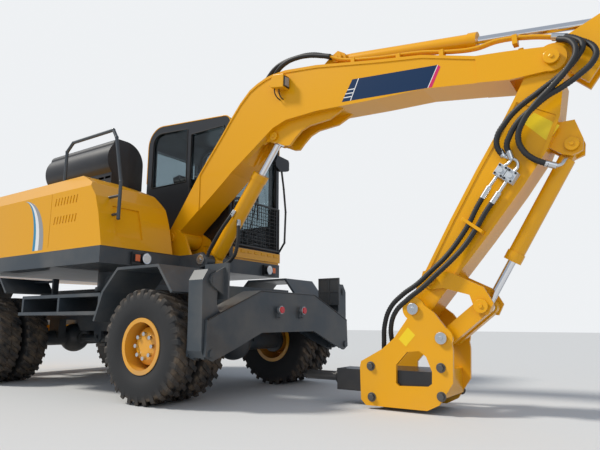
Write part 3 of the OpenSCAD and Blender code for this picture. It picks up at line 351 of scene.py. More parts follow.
def makeCabPaint():
    # yellow roof, rear and sill; black on the side by the boom, round the windscreen and above the left
    # belt line; grey lining on all faces that look towards the middle of the cab
    material = makeFinish("cabPaint", {"color": cabColors["black"], "rough": 0.3, "coat": 0.4, "grain": 0.03})
    tree = material.node_tree
    place = addNode(tree, "ShaderNodeTexCoord")
    x, y, z = addNode(tree, "ShaderNodeSeparateXYZ", {0: place["Object"]})
    upward = addNode(tree, "ShaderNodeSeparateXYZ", {0: place["Normal"]})["Z"]

    def inCorner(first, way, limit, second, otherWay, otherLimit):
        oneTest = addMath(tree, way, first, cabColors[limit])
        otherTest = addMath(tree, otherWay, second, cabColors[otherLimit])
        return addMath(tree, "MULTIPLY", oneTest, otherTest)

    front = inCorner(x, "GREATER_THAN", "frontFace", z, "GREATER_THAN", "sillTop")
    left = inCorner(y, "GREATER_THAN", "leftFace", z, "GREATER_THAN", "beltLine")
    right = inCorner(y, "LESS_THAN", "rightFace", upward, "LESS_THAN", "roofTilt")
    black = addMath(tree, "MAXIMUM", addMath(tree, "MAXIMUM", front, left), right)
    outside = mixColors(tree, black, cabColors["yellow"], cabColors["black"])
    toMiddle = {0: place["Object"], 1: cabColors["middle"]}
    fromMiddle = addNode(tree, "ShaderNodeVectorMath", toMiddle, operation="SUBTRACT")[0]
    facing = addNode(
        tree, "ShaderNodeVectorMath", {0: fromMiddle, 1: place["Normal"]}, operation="DOT_PRODUCT",
    )
    inward = addMath(tree, "LESS_THAN", facing["Value"], 0.0)
    color = mixColors(tree, inward, outside, cabColors["lining"])
    feed(tree, tree.nodes["Principled BSDF"], {"Base Color": color})
    return material


materials["cabPaint"] = makeCabPaint()

tyreDust = {
    "color": (0.19, 0.14, 0.095), "amount": 0.85, "scale": 9.0, "detail": 5, "low": 0.35, "high": 0.62,
}


def addTyreDust():
    # pale soil between the bars of the tread only
    tree = materials["tyreRubber"].node_tree
    share = addNode(tree, "ShaderNodeAttribute", attribute_name="treadShare")["Fac"]
    place = addNode(tree, "ShaderNodeTexCoord")["Object"]
    mask = addMath(tree, "MULTIPLY", share, addPatches(tree, place, tyreDust["scale"], tyreDust))
    dusty = addMath(tree, "MULTIPLY", mask, tyreDust["amount"])
    color = mixColors(tree, dusty, finishes["tyreRubber"]["color"], tyreDust["color"])
    feed(tree, tree.nodes["Principled BSDF"], {"Base Color": color})


addTyreDust()

# which finish each node wears, where it isn't the one of its slot
slotFinish = {
    "chassis_paint": "chassisPaint",
    "yellow_paint": "yellowPaint",
    "rod_chrome": "chrome",
    "black_paint": "blackPaint",
    "glass": "tintedGlass",
    "seat_vinyl": "seatVinyl",
    "lamp_body": "blackPaint",
    "engine_iron": "castIron",
    "chisel_steel": "forgedSteel",
    "tyre_rubber": "tyreRubber",
}
nodeFinish = {
    "cab_shell": "cabPaint",
    "cab_door": "cabPaint",
    "blade_barrels": "chassisPaint",
    "rims_fixed_right": "rimPaint",
    "rims_fixed_left": "rimPaint",
    "rims_steered_right": "rimPaint",
    "rims_steered_left": "rimPaint",
}


def dressNodes():
    slots = {piece["node"]: piece["material_slot"] for piece in frame["record"]["subparts"]}
    for name, node in nodes.items():
        finish = nodeFinish.get(name, slotFinish[slots[name]])
        node.data.materials.clear()
        node.data.materials.append(materials[finish])


dressNodes()
print("nodes dressed")

# shared ways of making pieces

# how far a piece sinks into the face that carries it
sink = 0.001


def bevelled(piece, width, segments=2):
    bevel = piece.modifiers.new("edges", "BEVEL")
    bevel.width = width
    bevel.segments = segments
    bevel.limit_method = "ANGLE"
    bevel.harden_normals = False
    return piece


def addPiece(name, mesh, finish, body, bevel=0.0):
    piece = addObject(name, mesh)
    mesh.materials.clear()
    mesh.materials.append(materials[finish])
    if body:
        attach(piece, body)
    return bevelled(piece, bevel) if bevel else piece


def meshOf(name, verts, faces):
    mesh = bpy.data.meshes.new(name)
    mesh.from_pydata([tuple(v) for v in verts], [], faces)
    build = bmesh.new()
    build.from_mesh(mesh)
    bmesh.ops.remove_doubles(build, verts=build.verts, dist=1e-6)
    bmesh.ops.recalc_face_normals(build, faces=build.faces)
    build.to_mesh(mesh)
    build.free()
    for face in mesh.polygons:
        face.use_smooth = False
    return mesh


def prismOf(outline, low, high, axis="Y"):
    # outline holds (x, z) points for axis Y, (y, z) for axis X and (x, y) for axis Z
    def spot(p, t):
        return {"Y": (p[0], t, p[1]), "X": (t, p[0], p[1]), "Z": (p[0], p[1], t)}[axis]

    n = len(outline)
    verts = [spot(p, low) for p in outline] + [spot(p, high) for p in outline]
    faces = [tuple(range(n)), tuple(range(n, 2 * n))[::-1]]
    faces += [(i, (i + 1) % n, n + (i + 1) % n, n + i) for i in range(n)]
    return verts, faces


def boxOf(low, high):
    outline = [(low[0], low[1]), (high[0], low[1]), (high[0], high[1]), (low[0], high[1])]
    return prismOf(outline, low[2], high[2], "Z")


def arcPoints(centre, radius, start, end, steps=8):
    turns = [math.radians(start + (end - start) * i / steps) for i in range(steps + 1)]
    return [(centre[0] + radius * math.cos(a), centre[1] + radius * math.sin(a)) for a in turns]


def discOf(centre, radius, low, high, axis="Y", sides=24):
    return prismOf(arcPoints(centre, radius, 0, 360, sides)[:-1], low, high, axis)


def turned(centre, angle, points):
    # points from a centre, turned by an angle that runs down from the first axis
    turn = math.radians(angle)
    along, down = math.cos(turn), math.sin(turn)
    return [(centre[0] + a * along + b * down, centre[1] - a * down + b * along) for a, b in points]


def bothSides(make, near, far):
    # a part on the right and on the left, between two distances from the middle plane
    return [make(*sorted((way * near, way * far))) for way in (-1, 1)]


def joined(parts):
    verts, faces = [], []
    for partVerts, partFaces in parts:
        start = len(verts)
        verts += partVerts
        faces += [tuple(i + start for i in face) for face in partFaces]
    return verts, faces


def addParts(name, parts, finish, body, bevel=0.0):
    return addPiece(name, meshOf(name, *joined(parts)), finish, body, bevel)


def addMeshes(name, meshes, finish, body):
    # plain meshes of one finish made into one piece
    build = bmesh.new()
    for mesh in meshes:
        build.from_mesh(mesh)
        bpy.data.meshes.remove(mesh)
    whole = bpy.data.meshes.new(name)
    build.to_mesh(whole)
    build.free()
    return addPiece(name, whole, finish, body)


def newTree(name, inputs):
    tree = bpy.data.node_groups.new(name, "GeometryNodeTree")
    for label, kind in [("Geometry", "Geometry"), *inputs, ("Material", "Material")]:
        tree.interface.new_socket(label, in_out="INPUT", socket_type=f"NodeSocket{kind}")
    tree.interface.new_socket("Geometry", in_out="OUTPUT", socket_type="NodeSocketGeometry")
    return tree, addNode(tree, "NodeGroupInput")


def finishTree(tree, entry, geometry):
    realized = addNode(tree, "GeometryNodeRealizeInstances", {0: geometry})[0]
    painted = addNode(
        tree, "GeometryNodeSetMaterial", {"Geometry": realized, "Material": entry["Material"]},
    )[0]
    addNode(tree, "NodeGroupOutput", {0: painted})
    return tree


def makeRingTree():
    # copies the piece round an axis through a centre
    inputs = [("Count", "Int"), ("Centre", "Vector"), ("Axis", "Vector"), ("Start Angle", "Float")]
    tree, entry = newTree("ringOfCopies", inputs)
    line = {"Count": entry["Count"], "Start Location": entry["Centre"], "Offset": (0, 0, 0)}
    centres = addNode(tree, "GeometryNodeMeshLine", line)[0]
    share = addMath(tree, "DIVIDE", addNode(tree, "GeometryNodeInputIndex")[0], entry["Count"])
    turn = addMath(tree, "MULTIPLY_ADD", share, 2 * math.pi, entry["Start Angle"])
    rotation = addNode(tree, "FunctionNodeAxisAngleToRotation", {"Axis": entry["Axis"], "Angle": turn})[0]
    placed = {"Points": centres, "Instance": entry["Geometry"], "Rotation": rotation}
    return finishTree(tree, entry, addNode(tree, "GeometryNodeInstanceOnPoints", placed)[0])


def makeRowTree():
    tree, entry = newTree("rowOfCopies", [("Count", "Int"), ("Step", "Vector")])
    line = addNode(
        tree, "GeometryNodeMeshLine", {"Count": entry["Count"], "Offset": entry["Step"]}, mode="OFFSET",
    )[0]
    placed = {"Points": line, "Instance": entry["Geometry"]}
    return finishTree(tree, entry, addNode(tree, "GeometryNodeInstanceOnPoints", placed)[0])


def makeSweepTree():
    # round tube along a curve, every second ring wider by the share Ribs
    inputs = [("Radius", "Float"), ("Sides", "Int"), ("Spacing", "Float"), ("Ribs", "Float")]
    tree, entry = newTree("tubeAlongPath", inputs)
    line = {"Curve": entry["Geometry"], "Length": entry["Spacing"]}
    path = addNode(tree, "GeometryNodeResampleCurve", line, mode="LENGTH")[0]
    circle = {"Resolution": entry["Sides"], "Radius": entry["Radius"]}
    ring = addNode(tree, "GeometryNodeCurvePrimitiveCircle", circle)[0]
    parity = addMath(tree, "MODULO", addNode(tree, "GeometryNodeInputIndex")[0], 2)
    swell = addMath(tree, "MULTIPLY_ADD", parity, entry["Ribs"], 1.0)
    sweep = {"Curve": path, "Profile Curve": ring, "Scale": swell, "Fill Caps": True}
    return finishTree(tree, entry, addNode(tree, "GeometryNodeCurveToMesh", sweep)[0])


ringTree = makeRingTree()
rowTree = makeRowTree()
sweepTree = makeSweepTree()


def grownMesh(source, tree, finish, values):
    modifier = source.modifiers.new("grow", "NODES")
    modifier.node_group = tree
    values = {**values, "Material": materials[finish]}
    for item in tree.interface.items_tree:
        if item.in_out == "INPUT" and item.name in values:
            modifier[item.identifier] = values[item.name]
    bpy.context.view_layer.update()
    depsgraph = bpy.context.evaluated_depsgraph_get()
    mesh = bpy.data.meshes.new_from_object(source.evaluated_get(depsgraph))
    bpy.data.objects.remove(source)
    return mesh


def copiesOf(part, tree, finish, values):
    return grownMesh(addObject("copy", meshOf("copy", *part)), tree, finish, values)


def tubeMesh(points, radius, finish, sides=12, straight=False, spacing=0.012, ribs=0.0):
    curve = bpy.data.curves.new("path", "CURVE")
    curve.dimensions = "3D"
    spline = curve.splines.new("POLY" if straight else "BEZIER")
    spots = spline.points if straight else spline.bezier_points
    spots.add(len(points) - 1)
    for spot, p in zip(spots, points):
        if straight:
            spot.co = (*p, 1)
        else:
            spot.co = p
            spot.handle_left_type = spot.handle_right_type = "AUTO"
    values = {"Radius": radius, "Sides": sides, "Spacing": spacing, "Ribs": ribs}
    mesh = grownMesh(addObject("path", curve), sweepTree, finish, values)
    for face in mesh.polygons:
        face.use_smooth = True
    return mesh


# tyres

tyre = {
    "radius": 0.45,
    "tread": 0.426,
    "width": 0.245,
    "rim": 0.203,
    "rounds": 72,
    "lugs": 30,
    "lugWidth": 0.04,
    "lugRun": 0.08,
    "outerY": 1.0025,
    "innerY": 0.7125,
    "axleX": {"fixed": 0.0, "steered": -2.58},
    "axleZ": 0.45,
    "cornerAngle": 35,
}
# where soil lies on the tread: depth of its fade, and its share on the bars' tops and on the shoulders
treadSoil = {
    "below": 0.035, "fade": 0.03, "top": 0.012, "topShare": 0.45, "shoulder": 0.9, "shoulderShare": 0.35,
}
# each pair of twin wheels: end, side, place of its axle, and the way to its side, where -1 is the right
sides = {"right": -1, "left": 1}
wheels = [(end, side, x, way) for end, x in tyre["axleX"].items() for side, way in sides.items()]


def tyreProfile():
    half = tyre["width"] / 2
    rim, tread = tyre["rim"], tyre["tread"]
    side = [
        (rim, 0.78), (rim + 0.012, 0.8), (rim + 0.03, 0.83), (rim + 0.06, 0.93), (rim + 0.095, 0.985),
        (rim + 0.12, 1.0), (tread - 0.06, 0.99), (tread - 0.026, 0.95), (tread - 0.008, 0.88), (tread, 0.76),
    ]
    right = [(r, half * share) for r, share in side]
    return right + [(r, -w) for r, w in reversed(right)]


def tyreCarcass(y):
    profile = tyreProfile()
    rounds, n = tyre["rounds"], len(profile)
    verts, faces = [], []
    for i in range(rounds):
        a = 2 * math.pi * i / rounds
        following = (i + 1) % rounds
        verts += [(r * math.cos(a), y + w, r * math.sin(a)) for r, w in profile]
        for j in range(n):
            k = (j + 1) % n
            faces.append((i * n + j, i * n + k, following * n + k, following * n + j))
    return verts, faces


def tyreLug(y, side):
    # a bar that runs from the shoulder towards the middle and leans as it goes
    half = tyre["width"] / 2
    wide = tyre["lugWidth"] / 2
    top, tread = tyre["radius"], tyre["tread"]
    # stations: share of the half width, lean along the tread, lug's top radius, foot radius
    stations = [
        (0.985, 0.0, tread - 0.05, tread - 0.07), (0.93, 0.0, top - 0.012, tread - 0.03),
        (
            0.84, 0.1, top - 0.001, tread - 0.006,
        ), (0.45, 0.55, top, tread - 0.003), (0.05, 1.0, top, tread - 0.003),
    ]
    verts, faces = [], []
    for share, lean, high, foot in stations:
        shift = lean * tyre["lugRun"] * side
        for radius, spread in ((foot, wide * 1.25), (high, wide)):
            for way in (-1, 1):
                a = (shift + way * spread) / top
                verts.append((radius * math.cos(a), y + side * share * half, radius * math.sin(a)))
    last = 4 * (len(stations) - 1)
    for a in range(0, last, 4):
        b = a + 4
        faces += [
            (a, a + 2, b + 2, b), (a + 2, a + 3, b + 3, b + 2), (a + 3, a + 1, b + 1, b + 3),
            (a + 1, a, b, b + 1),
        ]
    faces += [(0, 1, 3, 2), (last, last + 2, last + 3, last + 1)]
    return verts, faces


def markTread(mesh, axleX):
    # 1 at the foot of the tread, less on the bars and the shoulders, 0 on the side walls
    shares = []
    for vertex in mesh.vertices:
        radius = math.hypot(vertex.co.x - axleX, vertex.co.z - tyre["axleZ"])
        y = abs(vertex.co.y)
        across = min(abs(y - tyre["outerY"]), abs(y - tyre["innerY"])) * 2 / tyre["width"]
        share = min(max((radius - tyre["tread"] + treadSoil["below"]) / treadSoil["fade"], 0.0), 1.0)
        if radius > tyre["radius"] - treadSoil["top"]:
            share *= treadSoil["topShare"]
        if across > treadSoil["shoulder"]:
            share *= treadSoil["shoulderShare"]
        shares.append(share)
    mesh.attributes.new("treadShare", "FLOAT", "POINT").data.foreach_set("value", shares)


def wheelRing(part, finish, count, axleX, start=0.0):
    # copies of a part round a wheel's axle
    values = {"Count": count, "Centre": (axleX, 0, tyre["axleZ"]), "Axis": (0, 1, 0), "Start Angle": start}
    return copiesOf(part, ringTree, finish, values)


def makeTyres():
    for end, side, axleX, way in wheels:
        meshes = []
        for y in (tyre["outerY"], tyre["innerY"]):
            carcass = meshOf("carcass", *tyreCarcass(way * y))
            carcass.transform(Matrix.Translation((axleX, 0, tyre["axleZ"])))
            meshes.append(carcass)
            # the bars of the two halves stand in turn
            for half, start in ((-1, math.pi / tyre["lugs"]), (1, 0.0)):
                meshes.append(wheelRing(tyreLug(way * y, half), "tyreRubber", tyre["lugs"], axleX, start))
        piece = addMeshes(
            f"treaded_{end}_{side}", meshes, "tyreRubber", f"wheels_{end}_{side}",
        )
        markTread(piece.data, axleX)
        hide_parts(f"tyres_{end}_{side}")
        # smooth shading that stops at corners
        for face in piece.data.polygons:
            face.use_smooth = True
        piece.data.set_sharp_from_angle(angle=math.radians(tyre["cornerAngle"]))


makeTyres()
print("tyres made")

wheelNuts = {"count": 8, "circle": 0.095, "size": 0.017, "face": 1.0625, "high": 0.02}


def makeWheelNuts():
    for end, side, axleX, way in wheels:
        inner, outer = sorted((way * wheelNuts["face"], way * (wheelNuts["face"] + wheelNuts["high"])))
        nut = discOf((wheelNuts["circle"], 0), wheelNuts["size"], inner, outer, sides=6)
        nuts = wheelRing(nut, "zincSteel", wheelNuts["count"], axleX)
        addPiece(f"wheel_nuts_{end}_{side}", nuts, "zincSteel", f"wheels_{end}_{side}")


makeWheelNuts()

# pins, caps and bolts

pinNut = {"radius": 0.016, "proud": 0.008}
pinCaps = [
    # body, x, z, y of the face, radius, thickness, finish
    ("boom", 2.972, 2.433, 0.174, 0.052, 0.018, "yellowPaint"),
    ("dipper", 3.035, 1.819, 0.088, 0.046, 0.014, "yellowPaint"),
    ("rocker", 2.393, 0.747, 0.172, 0.048, 0.016, "yellowPaint"),
    ("dipper", 2.03, 0.95, 0.166, 0.044, 0.014, "yellowPaint"),
    ("dipper", 1.919, 0.733, 0.232, 0.042, 0.012, "zincSteel"),
    ("breaker", 2.12, 0.527, 0.232, 0.042, 0.012, "zincSteel"),
    ("boom", -0.72, 1.5, 0.199, 0.05, 0.01, "yellowPaint"),
    ("upper", -0.28, 1.24, 0.198, 0.048, 0.01, "zincSteel"),
    ("boom", 0.54, 2.378, 0.107, 0.042, 0.01, "yellowPaint"),
    ("boom", 1.235, 2.985, 0.088, 0.046, 0.014, "yellowPaint"),
    ("dipper", 3.39, 2.665, 0.09, 0.046, 0.014, "yellowPaint"),
]


def makePinCaps():
    groups = {}
    for body, x, z, face, radius, thick, finish in pinCaps:
        caps = bothSides(lambda a, b: discOf((x, z), radius, a, b, sides=28), face - 2 * sink, face + thick)
        nutTop = face + thick + pinNut["proud"]
        nuts = bothSides(lambda a, b: discOf((x, z), pinNut["radius"], a, b, sides=6), face, nutTop)
        groups.setdefault((body, finish), []).extend(caps + nuts)
    for (body, finish), parts in groups.items():
        addParts(f"pin_caps_{body}_{finish}", parts, finish, body, 0.002)


makePinCaps()
print("pins made")

breakerBolts = {
    "spots": [(1.564, 0.312), (1.566, 0.088), (2.105, 0.324), (2.1, 0.13)],
    "face": 0.22, "radius": 0.034, "washer": 0.006, "headShare": 0.72, "high": 0.022,
}


def makeBreakerBolts():
    face, radius = breakerBolts["face"], breakerBolts["radius"]
    head = radius * breakerBolts["headShare"]
    parts = []
    for spot in breakerBolts["spots"]:
        parts += bothSides(
            lambda a, b: discOf(spot, radius, a, b), face - sink, face + breakerBolts["washer"],
        )
        parts += bothSides(lambda a, b: discOf(spot, head, a, b, sides=6), face, face + breakerBolts["high"])
    addParts("breaker_bolts", parts, "forgedSteel", "breaker", 0.002)


makeBreakerBolts()

# pipes and hoses

boomPipes = {
    "radius": 0.011,
    "rows": (-0.1, -0.132, 0.1, 0.132),
    "path": [
        (1.16, 3.01), (1.3, 2.935), (1.6, 2.855), (2.04, 2.775), (2.3, 2.705), (2.46, 2.68), (2.62, 2.69),
        (2.84, 2.65), (3.0, 2.598),
    ],
    "clamps": [(1.42, 2.885), (1.84, 2.8), (2.2, 2.722), (2.74, 2.672)],
    "clampY": (0.082, 0.15),
    "boltY": (0.11, 0.122),
    "ends": (2.98, 3.08),
    "endRadius": 0.02,
}


def makeBoomPipes():
    rows, path = boomPipes["rows"], boomPipes["path"]
    pipes = [tubeMesh([(x, y, z) for x, z in path], boomPipes["radius"], "yellowPaint") for y in rows]
    addMeshes("boom_pipes", pipes, "yellowPaint", "boom")
    parts = []
    for x, z in boomPipes["clamps"]:
        parts += bothSides(
            lambda a, b: boxOf((x - 0.018, a, z - 0.055), (x + 0.018, b, z + 0.018)), *boomPipes["clampY"],
        )
        parts += bothSides(
            lambda a, b: discOf((x, (a + b) / 2), 0.009, z + 0.016, z + 0.03, "Z", 6), *boomPipes["boltY"]
        )
    addParts("pipe_clamps", parts, "yellowPaint", "boom", 0.002)
    # the end fittings go on in line with the path's last stretch
    (x0, z0), (x1, z1) = path[-2:]
    slope = (z1 - z0) / (x1 - x0)
    ends = [
        tubeMesh(
            [(x, y, z1 + slope * (x - x1)) for x in boomPipes["ends"]], boomPipes["endRadius"], "zincSteel",
            6, True,
        )
        for y in rows
    ]
    addMeshes("pipe_ends", ends, "zincSteel", "boom")


makeBoomPipes()

# x and z of the two hoses from the deck to the boom and up its back
footBend = [(-1.08, 1.294), (-1.074, 1.4), (-1.02, 1.52), (-0.92, 1.61), (-0.79, 1.69), (-0.658, 1.81)]
boomClimb = [(-0.658, 1.81), (-0.398, 2.172), (-0.098, 2.533), (0.012, 2.674)]
# each hose: body or two bodies, radius, points, height of the ribs where it isn't that of the spiral guard
hoses = {
    "tip_hose_a": {"bodies": ("boom", "dipper"), "radius": 0.019, "points": [
        (3.06, -0.132, 2.575), (3.12, -0.15, 2.535), (3.165, -0.185, 2.46), (3.13, -0.205, 2.375),
        (3.04, -0.21, 2.285), (2.88, -0.21, 2.185), (2.735, -0.205, 2.1), (2.64, -0.2, 2.01),
        (2.58, -0.19, 1.92), (2.578, -0.18, 1.85), (2.605, -0.165, 1.795),
    ]},
    "tip_hose_b": {"bodies": ("boom", "dipper"), "radius": 0.019, "points": [
        (3.06, -0.1, 2.578), (3.15, -0.13, 2.52), (3.235, -0.18, 2.4), (3.215, -0.215, 2.31),
        (3.14, -0.23, 2.24), (3.03, -0.235, 2.175), (2.925, -0.235, 2.13), (2.83, -0.225, 2.07),
        (2.73, -0.21, 2.0), (2.668, -0.195, 1.92), (2.64, -0.18, 1.85), (2.66, -0.165, 1.775),
    ]},
    "tip_hose_c": {"bodies": ("boom", "dipper"), "radius": 0.019, "points": [
        (3.02, -0.165, 2.555), (3.1, -0.215, 2.49), (3.125, -0.245, 2.39), (3.08, -0.255, 2.3),
        (2.966, -0.25, 2.185), (2.86, -0.235, 2.1), (2.76, -0.215, 1.99), (2.722, -0.2, 1.89),
        (2.745, -0.19, 1.8), (2.805, -0.18, 1.73), (2.875, -0.165, 1.69), (2.92, -0.14, 1.672),
    ]},
    "dipper_hose_a": {"bodies": ("dipper",), "radius": 0.017, "points": [
        (2.487, -0.165, 1.563), (2.413, -0.165, 1.458), (2.34, -0.165, 1.33), (2.26, -0.172, 1.215),
        (2.166, -0.192, 1.1), (2.06, -0.216, 1.0),
    ]},
    "dipper_hose_b": {"bodies": ("dipper",), "radius": 0.017, "points": [
        (2.55, -0.165, 1.511), (2.478, -0.165, 1.424), (2.395, -0.165, 1.3), (2.312, -0.178, 1.182),
        (2.218, -0.204, 1.078), (2.112, -0.228, 0.98),
    ]},
    "breaker_hose_a": {"bodies": ("dipper", "breaker"), "radius": 0.017, "points": [
        (2.06, -0.216, 1.0), (1.96, -0.222, 0.915), (1.84, -0.218, 0.84), (1.73, -0.2, 0.745),
        (1.665, -0.17, 0.62), (1.64, -0.14, 0.48), (1.62, -0.11, 0.33), (1.6, -0.1, 0.28),
    ]},
    "breaker_hose_b": {"bodies": ("dipper", "breaker"), "radius": 0.017, "points": [
        (2.112, -0.228, 0.98), (2.0, -0.234, 0.885), (1.88, -0.226, 0.803), (1.77, -0.205, 0.71),
        (1.715, -0.17, 0.6), (1.7, -0.12, 0.48), (1.69, -0.06, 0.35), (1.68, -0.05, 0.28),
    ]},
    "boom_hose_a": {"bodies": ("boom",), "radius": 0.021, "points": [
        *[(x, 0.03, z) for x, z in boomClimb], (0.13, 0.025, 2.814), (0.25, 0.01, 2.924),
        (0.345, -0.015, 2.99), (0.43, -0.045, 3.046), (0.52, -0.07, 3.088), (0.62, -0.083, 3.112),
        (0.785, -0.088, 3.118), (0.959, -0.094, 3.096), (1.1, -0.1, 3.04), (1.19, -0.1, 2.995),
    ]},
    "boom_hose_b": {"bodies": ("boom",), "radius": 0.021, "points": [
        *[(x, 0.09, z) for x, z in boomClimb], (0.13, 0.085, 2.814), (0.26, 0.07, 2.926),
        (0.365, 0.04, 2.984), (0.46, -0.02, 3.02), (0.56, -0.08, 3.052), (0.68, -0.12, 3.08),
        (0.8, -0.134, 3.088), (0.959, -0.134, 3.07), (1.1, -0.132, 3.026), (1.19, -0.132, 2.993),
    ]},
    "foot_hose_a": {
        "bodies": ("upper", "boom"), "radius": 0.021,
        "points": [(x, 0.03, z) for x, z in footBend],
    },
    "foot_hose_b": {
        "bodies": ("upper", "boom"), "radius": 0.021,
        "points": [(x, 0.09, z) for x, z in footBend],
    },
    "cylinder_hose_a": {"bodies": ("upper", "boom_barrel"), "radius": 0.016, "ribs": 0.22, "points": [
        (-0.42, -0.13, 1.2), (-0.34, -0.138, 1.19), (-0.27, -0.14, 1.22), (-0.225, -0.14, 1.32),
        (-0.155, -0.136, 1.43), (-0.075, -0.126, 1.54), (-0.005, -0.112, 1.63), (0.04, -0.092, 1.7),
    ]},
    "cylinder_hose_b": {"bodies": ("upper", "boom_barrel"), "radius": 0.016, "ribs": 0.22, "points": [
        (-0.42, -0.09, 1.18), (-0.25, -0.1, 1.17), (-0.07, -0.1, 1.18), (0.06, -0.095, 1.26),
        (0.095, -0.085, 1.38), (0.09, -0.07, 1.5), (0.075, -0.055, 1.6),
    ]},
}


# spiral guard on the hoses
hoseWrap = {"pitch": 0.02, "ribs": 0.13, "sides": 14}


def makeHoses():
    for name, hose in hoses.items():
        bodies, ribs = hose["bodies"], hose.get("ribs", hoseWrap["ribs"])
        spacing = hoseWrap["pitch"] / 2
        mesh = tubeMesh(
            hose["points"], hose["radius"], "hoseRubber", hoseWrap["sides"], spacing=spacing, ribs=ribs
        )
        blended = len(bodies) == 2
        piece = addPiece(name, mesh, "hoseRubber", None if blended else bodies[0])
        if blended:
            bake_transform(piece)


makeHoses()

# silver sleeves at hose ends: body, from, to, radius
hoseSleeves = [
    ("dipper", (2.612, -0.165, 1.78), (2.59, -0.165, 1.835), 0.023),
    ("dipper", (2.662, -0.165, 1.755), (2.648, -0.172, 1.815), 0.023),
    ("dipper", (2.87, -0.165, 1.692), (2.935, -0.14, 1.668), 0.023),
    ("dipper", (2.5, -0.165, 1.582), (2.447, -0.165, 1.506), 0.021),
    ("dipper", (2.563, -0.165, 1.532), (2.51, -0.165, 1.462), 0.021),
    ("boom_barrel", (0.052, -0.086, 1.718), (0.018, -0.1, 1.662), 0.02),
    ("boom_barrel", (0.072, -0.048, 1.622), (0.084, -0.062, 1.56), 0.02),
    ("upper", (-0.43, -0.13, 1.202), (-0.375, -0.134, 1.195), 0.02),
    ("upper", (-0.43, -0.09, 1.181), (-0.37, -0.092, 1.177), 0.02),
    ("upper", (-1.08, 0.03, 1.294), (-1.077, 0.03, 1.35), 0.026),
    ("upper", (-1.08, 0.09, 1.294), (-1.077, 0.09, 1.35), 0.026),
]
# steel pipes on the dipper: radius, points
dipperTubes = [
    (
        0.011,
        [
            (2.605, -0.165, 1.79), (2.64, -0.165, 1.77), (2.69, -0.165, 1.745), (2.7, -0.165, 1.7),
            (2.672, -0.165, 1.665),
        ],
    ),
    (0.011, [(2.662, -0.165, 1.76), (2.645, -0.165, 1.735), (2.605, -0.165, 1.715)]),
    (0.012, [(2.56, -0.165, 1.655), (2.5, -0.165, 1.582)]),
    (0.012, [(2.622, -0.165, 1.61), (2.563, -0.165, 1.532)]),
    (0.012, [(2.935, -0.14, 1.668), (2.965, -0.125, 1.68), (2.985, -0.1, 1.715), (2.992, -0.06, 1.735)]),
]


def makeHoseEnds():
    groups = {}
    for body, start, end, radius in hoseSleeves:
        groups.setdefault(body, []).append(tubeMesh([start, end], radius, "zincSteel", 10, True))
    groups["dipper"] += [tubeMesh(points, radius, "zincSteel", 10) for radius, points in dipperTubes]
    for body, meshes in groups.items():
        addMeshes(f"hose_fittings_{body}", meshes, "zincSteel", body)


makeHoseEnds()

valveBlock = {
    "centres": [(2.588, 1.682), (2.648, 1.634)],
    "half": (0.03608, 0.044),
    "turn": 37,
    "low": 0.122,
    "high": 0.19,
    "capRadius": 0.017,
    "capProud": 0.008,
    "boltAt": (0.024, 0.032),
    "boltRadius": 0.0075,
    "boltProud": 0.01,
}


def makeValveBlock():
    (a, b), (boltA, boltB), turn = valveBlock["half"], valveBlock["boltAt"], valveBlock["turn"]
    face = -valveBlock["high"]
    boltFace = face - valveBlock["boltProud"]
    blocks, bolts = [], []
    for centre in valveBlock["centres"]:
        outline = turned(centre, turn, [(-a, -b), (a, -b), (a, b), (-a, b)])
        blocks.append(prismOf(outline, face, sink - valveBlock["low"]))
        blocks.append(discOf(centre, valveBlock["capRadius"], face - valveBlock["capProud"], face + sink))
        corners = [(-boltA, -boltB), (-boltA, boltB), (boltA, -boltB), (boltA, boltB)]
        for spot in turned(centre, turn, corners):
            bolts.append(discOf(spot, valveBlock["boltRadius"], boltFace, face + sink, sides=12))
    addParts("valve_block", blocks, "valveGrey", "dipper", 0.002)
    addParts("valve_bolts", bolts, "blackTrimAndShade", "dipper")


makeValveBlock()

hoseClamp = {"from": (2.3, 1.372), "to": (2.435, 1.262), "half": 0.012, "low": 0.122, "high": 0.19}


def makeHoseClamp():
    start, end = Vector(hoseClamp["from"]), Vector(hoseClamp["to"])
    along = (end - start).normalized()
    across = Vector((-along.y, along.x)) * hoseClamp["half"]
    outline = [start - across, end - across, end + across, start + across]
    clamp = prismOf(outline, -hoseClamp["high"], sink - hoseClamp["low"])
    addParts("hose_clamp", [clamp], "yellowPaint", "dipper", 0.003)


makeHoseClamp()
print("hoses made")

# films and blank plates; outlines are (x, z) on a side face

